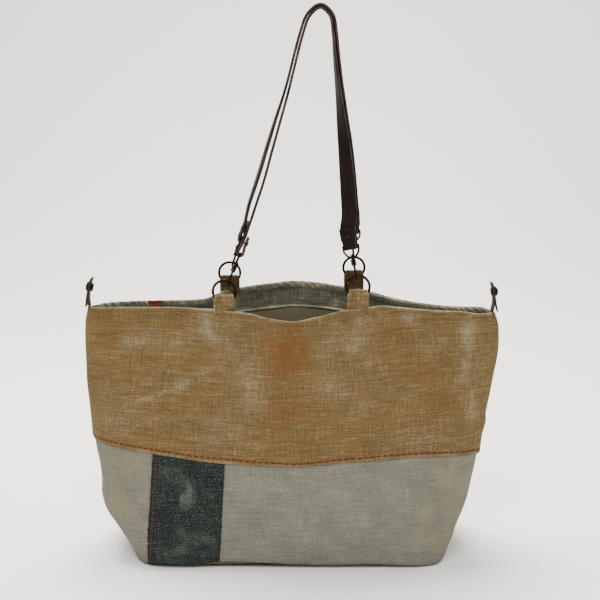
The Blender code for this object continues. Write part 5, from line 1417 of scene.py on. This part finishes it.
def leather(name, face, red, pale_core_and_highlight):
    """Finished leather: tone gives how bare and pale a cut edge is, with its painted highlight, and how
    burnished.
    """
    f = Finish(name, Specular_IOR_Level=0.11)
    run = f.attribute("cloth")
    tone = f.split(f.attribute("tone"))
    spot = f.node("ShaderNodeTexCoord", {}, out=3)
    cloud = f.noise(spot, 60.0, 4.0, 0.6)
    grain = f.noise(spot, 1500.0, 3.0, 0.6)
    pores = f.node("ShaderNodeTexVoronoi", {"Vector": spot, "Scale": 950.0})
    streak = f.noise(f.scaled(run, (500.0, 22.0, 1.0)), 1.0, 3.0)
    colour = f.mix(f.maths("MULTIPLY_ADD", cloud * 0.5 + streak * 0.5 - 0.42, 3.6, 0.0, clamp=True),
                   face, red)
    bare = f.maths("MULTIPLY_ADD", grain, 0.6, 0.4) * tone[0]
    colour = f.mix(bare, colour, pale_core_and_highlight)
    dull = f.mix(tone[1], colour, paint(14, 10, 9))
    rough = f.maths("MULTIPLY_ADD", cloud, 0.18, 0.50) + tone[0] * 0.3
    height = grain * 0.55 + pores * 0.45
    return f.drive(Base_Color=dull, Roughness=rough, Normal=f.bump(height, 0.00012, 0.5))


bridle_leather = leather("dark_bridle_leather", paint(15, 7, 6), paint(34, 17, 13),
                         paint(104, 84, 72))


def turned_width(degrees):
    """Which way a strap's width points in plan, once turned towards the front."""
    angle = math.radians(degrees)
    return Vector((-math.sin(angle), math.cos(angle), 0.0))


def curve_through(points, count, measured):
    """Catmull-Rom curve through the points, evenly respaced by its first few columns."""
    points = np.array([points[0] * 2 - points[1]] + list(points) + [points[-1] * 2 - points[-2]])
    made = []
    for i in range(1, len(points) - 2):
        p0, p1, p2, p3 = points[i - 1:i + 3]
        for t in np.linspace(0.0, 1.0, 24, endpoint=False):
            made.append(0.5 * ((2 * p1) + (p2 - p0) * t + (2 * p0 - 5 * p1 + 4 * p2 - p3) * t ** 2
                               + (3 * p1 - p0 - 3 * p2 + p3) * t ** 3))
    made = np.array(made + [points[-2]])
    steps = np.linalg.norm(np.diff(made[:, :measured], axis=0), axis=1)
    run = np.concatenate([[0.0], np.cumsum(steps)])
    at = np.linspace(0.0, run[-1], count)
    return np.stack([np.interp(at, run, made[:, k]) for k in range(made.shape[1])], axis=1)


def strap_middle(low, name):
    """The free run of one strap and its turns: the shared line, set off to its own side."""
    way = -1.0 if name == "front" else 1.0
    top = HANDLE_TOP - STRAP_THICKNESS - METAL_GAP / 2
    shared = np.stack([route["out"] * HANDLE_RIGHT, route["depth"] * HANDLE_HALF_DEPTH,
                       low + route["rise"] * (top - low), route["apart"] * STRAP_THICKNESS,
                       route[f"{name}_turn"]], axis=1)
    shared = curve_through(shared, STRAP_STATIONS, 3)
    line = shared[:, :3] * (1.0, 0.0, 1.0)
    middle = []
    for point, tangent, (_, depth, _, apart, turn) in zip(line, np.gradient(line, axis=0), shared):
        face = Vector(tangent).normalized().cross(turned_width(turn)).normalized()
        outwards = 1.0 if tangent[2] < 0.0 else -1.0
        place = Vector(point) + face * way * (STRAP_THICKNESS + METAL_GAP) / 2
        place += Vector((way * outwards * apart, way * depth, 0.0))
        middle.append(np.array(place))
    return middle, list(shared[:, 4])


def strap_end(bar, up, aside, forward):
    """One end: the return on the inner side, the fold round the bar and the main ply."""
    aside = (aside - up * aside.dot(up)).normalized()
    face = forward.cross(aside)
    hug = EYE_WIRE + METAL_GAP + STRAP_THICKNESS / 2
    tight = STRAP_THICKNESS / 2 + METAL_GAP
    closing = smooth(np.linspace(0.10, 1.0, 19), np.array([0.0, 0.22, 0.45, 0.72, 1.0]),
                     np.array([1.0, 0.70, 0.12, 0.0, 0.0]))
    plies = {}
    for way in (-1.0, 1.0):
        plies[way] = [bar + face * way * (tight + (hug - tight) * share) + up * rise * STRAP_RETURN
                      for rise, share in zip(np.linspace(0.10, 1.0, 19), closing)]
    fold = [bar - face * (hug * math.cos(angle)) - up * (hug * math.sin(angle))
            for angle in np.linspace(0.0, math.pi, 21)]
    path = plies[-1.0][::-1] + fold + plies[1.0]
    return [np.array(point) for point in path], np.array(aside), face


def strap(name):
    """One leather handle: main run, a fold round each eye's bar and a riveted return."""
    ends = {end: places[f"{name}_{end}"] for end in ("left", "right")}
    bars = {end: place["bend"] + place["up"] * EYE_HEIGHT for end, place in ends.items()}
    turns = route[f"{name}_turn"]
    runs = {"left": strap_end(bars["left"], ends["left"]["up"], turned_width(turns[0]),
                              ends["left"]["up"]),
            "right": strap_end(bars["right"], ends["right"]["up"], turned_width(turns[-1]),
                               -ends["right"]["up"])}
    middle, turns = strap_middle((bars["left"].z + bars["right"].z) / 2, name)
    main, turn = [], []
    for end, inner in (("left", middle[:STRAP_JOIN]), ("right", middle[:-STRAP_JOIN - 1:-1])):
        last = runs[end][0]
        joint = curve_through([last[-5], last[-1], inner[0], inner[-1]], 160, 3)
        near = int(np.argmin(np.linalg.norm(joint - last[-1], axis=1)))
        far = int(np.argmin(np.linalg.norm(joint - inner[0], axis=1)))
        steps = np.linspace(near, far, STRAP_JOIN + 6).round().astype(int)[1:-1]
        main.append([joint[step] for step in steps])
        turn.append([turns[0 if end == "left" else -1]] * len(steps))
    free = main[0] + middle + main[1][::-1]
    turn = turn[0] + turns + turn[1]
    asides = [np.array(turned_width(degrees)) for degrees in turn]
    left_run, right_run = runs["left"][0], runs["right"][0][::-1]
    path = np.array(left_run + free + right_run)
    sideways = np.array([runs["left"][1]] * len(left_run) + asides
                        + [runs["right"][1]] * len(right_run))
    for _ in range(3):
        sideways[1:-1] = (sideways[:-2] + sideways[1:-1] * 2 + sideways[2:]) / 4
    near = np.min([np.linalg.norm(path - np.array(bar), axis=1) for bar in bars.values()], axis=0)
    share = np.clip((near - STRAP_NOTCH * 0.55) / (STRAP_NOTCH * 0.45), 0.0, 1.0)
    share = share * share * (3 - 2 * share)
    widths = STRAP_END_WIDTH + (STRAP_WIDTH - STRAP_END_WIDTH) * share
    points, across, through, face, run, reach = strip(path, sideways, widths, STRAP_THICKNESS,
                                                      flat=11, edge=7)
    worn = 0.00012 * value_noise(run[:, None] / 0.018, across * 1.5, 51 + len(name))
    points = points + face[:, None] * worn[..., None]
    edge = np.abs(across) > 0.999
    # The cut edges' paler core is partly the bare leather and partly a painted highlight.
    pale_core_and_highlight = np.where(edge, np.clip(1.0 - np.abs(through) * 1.5, 0.0, 1.0), 0.0)
    uneven = 0.55 + 0.45 * value_noise(run[:, None] / 0.010, across, 57)
    burnt = np.where(edge, np.clip(np.abs(through) * 1.6 - 0.7, 0.0, 1.0),
                     np.clip((np.abs(across) - 0.86) / 0.14, 0.0, 1.0) * 0.7)
    tone = np.stack(np.broadcast_arrays(pale_core_and_highlight * uneven, burnt + 0.0 * uneven, 0.0 * uneven), -1)
    cloth = np.stack(np.broadcast_arrays(reach, run[:, None]), axis=-1)
    mesh = strip_mesh(f"leather_strap_{name}", points, cloth, tone)
    piece(f"leather_strap_{name}", mesh, bridle_leather, "bag", "dark_leather", f"strap_{name}")
    for end in ("left", "right"):
        rivet(f"{name}_{end}", bars[end], ends[end]["up"], runs[end][2])


def rivet(corner, bar, up, face):
    """A tubular rivet through both plies, with a low domed cap on either side."""
    seat = STRAP_THICKNESS + 2 * METAL_GAP
    aside = up.cross(face)
    matrix = Matrix((aside, up, face)).transposed().to_4x4()
    matrix.translation = bar + up * RIVET_RISE
    profile = [(0.0, -seat - 0.0009), (0.0012, -seat - 0.00088), (0.0023, -seat - 0.0007),
               (RIVET_HEAD, -seat - 0.0003), (RIVET_HEAD, -seat), (RIVET_RADIUS, -seat),
               (RIVET_RADIUS, seat), (RIVET_HEAD, seat), (RIVET_HEAD, seat + 0.0003),
               (0.0023, seat + 0.0007), (0.0012, seat + 0.00088), (0.0, seat + 0.0009)]
    name = f"bronze_rivet_{corner}"
    piece(name, joined(name, [moved(turned(profile), matrix)]), antique_bronze, "bag",
          "dark_bronze", f"rivet_{corner}")


for corner in CORNERS:
    row = 0 if corner.endswith("left") else -1
    snap_hook(corner)
    gate(corner)
    swivel_eye(corner, math.radians(route[f"{corner.split('_')[0]}_turn"][row]))
strap("front")
strap("back")


# The side tabs: a leather strip folded astride each end of the rim, standing up and leaning
# in, with half of a press snap near its tip that pulls the bag's end closed.
TAB_WIDTH = 0.0125
TAB_THICKNESS = 0.0030
TAB_RISE = 0.0345
TAB_STRAIGHT = 0.86
TAB_CORNER = 0.0022
SNAP_RADIUS = 0.0056
SNAP_POST = 0.0018
SNAP_RISE = 0.0235


def side_tab(end):
    way = -1.0 if end == "left" else 1.0
    low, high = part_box(f"side_tab_{end}")
    lean = {"left": 0.22, "right": 0.16}[end]
    spread = {"left": 0.0010, "right": 0.0022}[end]
    half = TAB_THICKNESS / 2
    crotch = TAB_RISE * 0.38
    bent = lean * TAB_RISE * (TAB_STRAIGHT - 0.38)
    tip = bent + lean * TAB_RISE * (1.0 - TAB_STRAIGHT) * 2.0
    outer = [(spread + half + 0.0006, 0.0), (half, crotch), (half - bent, TAB_RISE * TAB_STRAIGHT),
             (half - tip, TAB_RISE)]
    inner = [(x - TAB_THICKNESS, z) for x, z in outer[1:]][::-1] + [(-half - spread, 0.0)]
    slit = [(-0.0004 - spread * 0.3, 0.0), (0.0, crotch * 0.8), (spread + 0.0009, 0.0)]
    outline = []
    for side in (outer, inner, slit):
        bend = [(x, z, 0.0) for x, z in side]
        bend = spaced(eased(bend, 2) if len(bend) > 3 else np.array(bend), 40)
        outline += [(x, z) for x, z, _ in bend]
    clean = [outline[0]]
    for point in outline[1:]:
        if math.dist(point, clean[-1]) > 0.0002:
            clean.append(point)
    if math.dist(clean[0], clean[-1]) < 0.0002:
        clean.pop()
    points, faces = slab(clean, -TAB_WIDTH / 2, TAB_WIDTH / 2, 0.00045)
    depth, out, up = points[:, 0], points[:, 1], points[:, 2]
    near_tip = np.clip((up - (TAB_RISE - TAB_CORNER)) / TAB_CORNER, 0.0, 1.0)
    depth = depth * (1.0 - (1.0 - np.sqrt(1.0 - near_tip ** 2 * 0.96)) * TAB_CORNER * 2 / TAB_WIDTH)
    seam = on_body("front", 0.0 if end == "left" else 1.0, 1.0)
    shift = seam[0] - way * (half + spread) * 0.35
    base = low[2] - 0.0006
    world = np.stack([shift + way * out, depth, base + up], axis=1)
    mesh = bpy.data.meshes.new(f"leather_tab_{end}")
    if way > 0:
        faces = [face[::-1] for face in faces]
    mesh.from_pydata(world.tolist(), [], faces)
    # The tips' cut ends are paled, partly a bare edge and partly a painted highlight, strongest on the left tab.
    cut_end_and_highlight = np.clip((up - TAB_RISE + 0.0035) / 0.0030, 0.0, 1.0) * (0.9 if end == "left" else 0.3)
    cut_side = 0.25 * (np.abs(depth) > TAB_WIDTH / 2 - 0.0002)
    tone = np.stack([np.maximum(cut_end_and_highlight, cut_side), 0.2 + 0.0 * up, 0.0 * up], axis=1)
    for label, values in (("cloth", np.stack([depth, up, 0 * up], 1)), ("tone", tone)):
        layer = mesh.attributes.new(label, "FLOAT_VECTOR", "POINT")
        layer.data.foreach_set("vector", values.astype(np.float32).ravel())
    mesh.shade_smooth()
    mesh.set_sharp_from_angle(angle=math.radians(40))
    piece(f"leather_tab_{end}", mesh, bridle_leather, "bag", "dark_leather", f"side_tab_{end}")
    snap(end, Vector((shift - way * lean * (SNAP_RISE - crotch), 0.0, base + SNAP_RISE)),
         way, lean)


def snap(end, spot, way, lean):
    """A press snap: a cap on the outer face and its seat on the inner one."""
    seat = TAB_THICKNESS / 2 + 0.0005
    cap = {"left": 0.0024, "right": 0.0036}[end]
    back = {"left": 0.0022, "right": 0.0008}[end]
    rim_cap, rim_back = SNAP_RADIUS, SNAP_RADIUS * 0.85
    profile = [(0.0, -seat - back), (rim_back * 0.45, -seat - back), (rim_back * 0.5, -seat - back * 0.6),
               (rim_back * 0.62, -seat - back * 0.6), (rim_back * 0.7, -seat - back),
               (rim_back - 0.0004, -seat - back), (rim_back, -seat - back * 0.7), (rim_back, -seat),
               (SNAP_POST, -seat), (SNAP_POST, seat), (rim_cap, seat), (rim_cap, seat + cap * 0.35),
               (rim_cap - 0.0005, seat + cap * 0.55), (rim_cap * 0.72, seat + cap * 0.78),
               (rim_cap * 0.64, seat + cap * 0.70), (rim_cap * 0.5, seat + cap * 0.92),
               (rim_cap * 0.25, seat + cap), (0.0, seat + cap)]
    axis = Vector((way, 0.0, lean)).normalized()
    matrix = axis.to_track_quat("Z", "Y").to_matrix().to_4x4()
    matrix.translation = spot
    name = f"bronze_snap_{end}"
    piece(name, joined(name, [moved(turned(profile), matrix)]), snap_metal, "bag", "dark_bronze",
          f"snap_{end}")


snap_metal = bronze("gunmetal_bronze", paint(24, 28, 28), paint(110, 110, 104), 0.40)
side_tab("left")
side_tab("right")


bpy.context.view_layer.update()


# The studio: a pale sweep that the bag stands on, a broad soft light overhead and to the
# left, and weaker fills from the front and the right.
def sweep():
    profile = [(-2.2, 0.0), (1.2, 0.0)]
    profile += [(1.2 + 0.9 * math.sin(a), 0.9 - 0.9 * math.cos(a))
                for a in np.linspace(0.1, math.pi / 2, 16)]
    profile += [(2.1, 3.2)]
    rows = np.array([[(x, y, z) for x in (-3.5, 3.5)] for y, z in profile])
    mesh = sewn_mesh("studio_sweep", rows, rows[..., :2].copy(), np.zeros(rows.shape))
    made = bpy.data.objects.new("studio_sweep", mesh)
    bpy.context.scene.collection.objects.link(made)
    paper = Finish("studio_paper", Roughness=0.9, Specular_IOR_Level=0.1)
    spot = paper.node("ShaderNodeTexCoord", {}, out=3)
    shade = paper.mix(paper.noise(spot, 0.8, 2.0), paint(240, 238, 233), paint(244, 243, 239))
    mesh.materials.append(paper.drive(Base_Color=shade))


def soft_light(name, place, aim, size, watts, colour):
    lamp = bpy.data.lights.new(name, "AREA")
    lamp.shape = "RECTANGLE"
    lamp.size, lamp.size_y = size
    lamp.energy = watts
    lamp.color = colour
    made = bpy.data.objects.new(name, lamp)
    made.location = place
    made.rotation_euler = (Vector(aim) - Vector(place)).to_track_quat("-Z", "Y").to_euler()
    bpy.context.scene.collection.objects.link(made)


sweep()
soft_light("overhead_softbox", (-0.25, 0.65, 1.9), (0.0, 0.0, 0.05), (1.6, 0.9), 118.0,
           (1.0, 0.985, 0.96))
soft_light("front_fill", (-0.3, -1.9, 2.3), (0.0, 0.0, 0.25), (2.0, 1.0), 62.0,
           (1.0, 0.99, 0.97))
soft_light("right_fill", (2.2, -0.6, 1.0), (0.0, 0.0, 0.25), (1.6, 1.4), 14.0, (0.97, 0.99, 1.0))
room = bpy.context.scene.world or bpy.data.worlds.new("room")
bpy.context.scene.world = room
room.use_nodes = True
room.node_tree.nodes["Background"].inputs["Color"].default_value = (0.98, 0.98, 1.0, 1.0)
room.node_tree.nodes["Background"].inputs["Strength"].default_value = 0.62
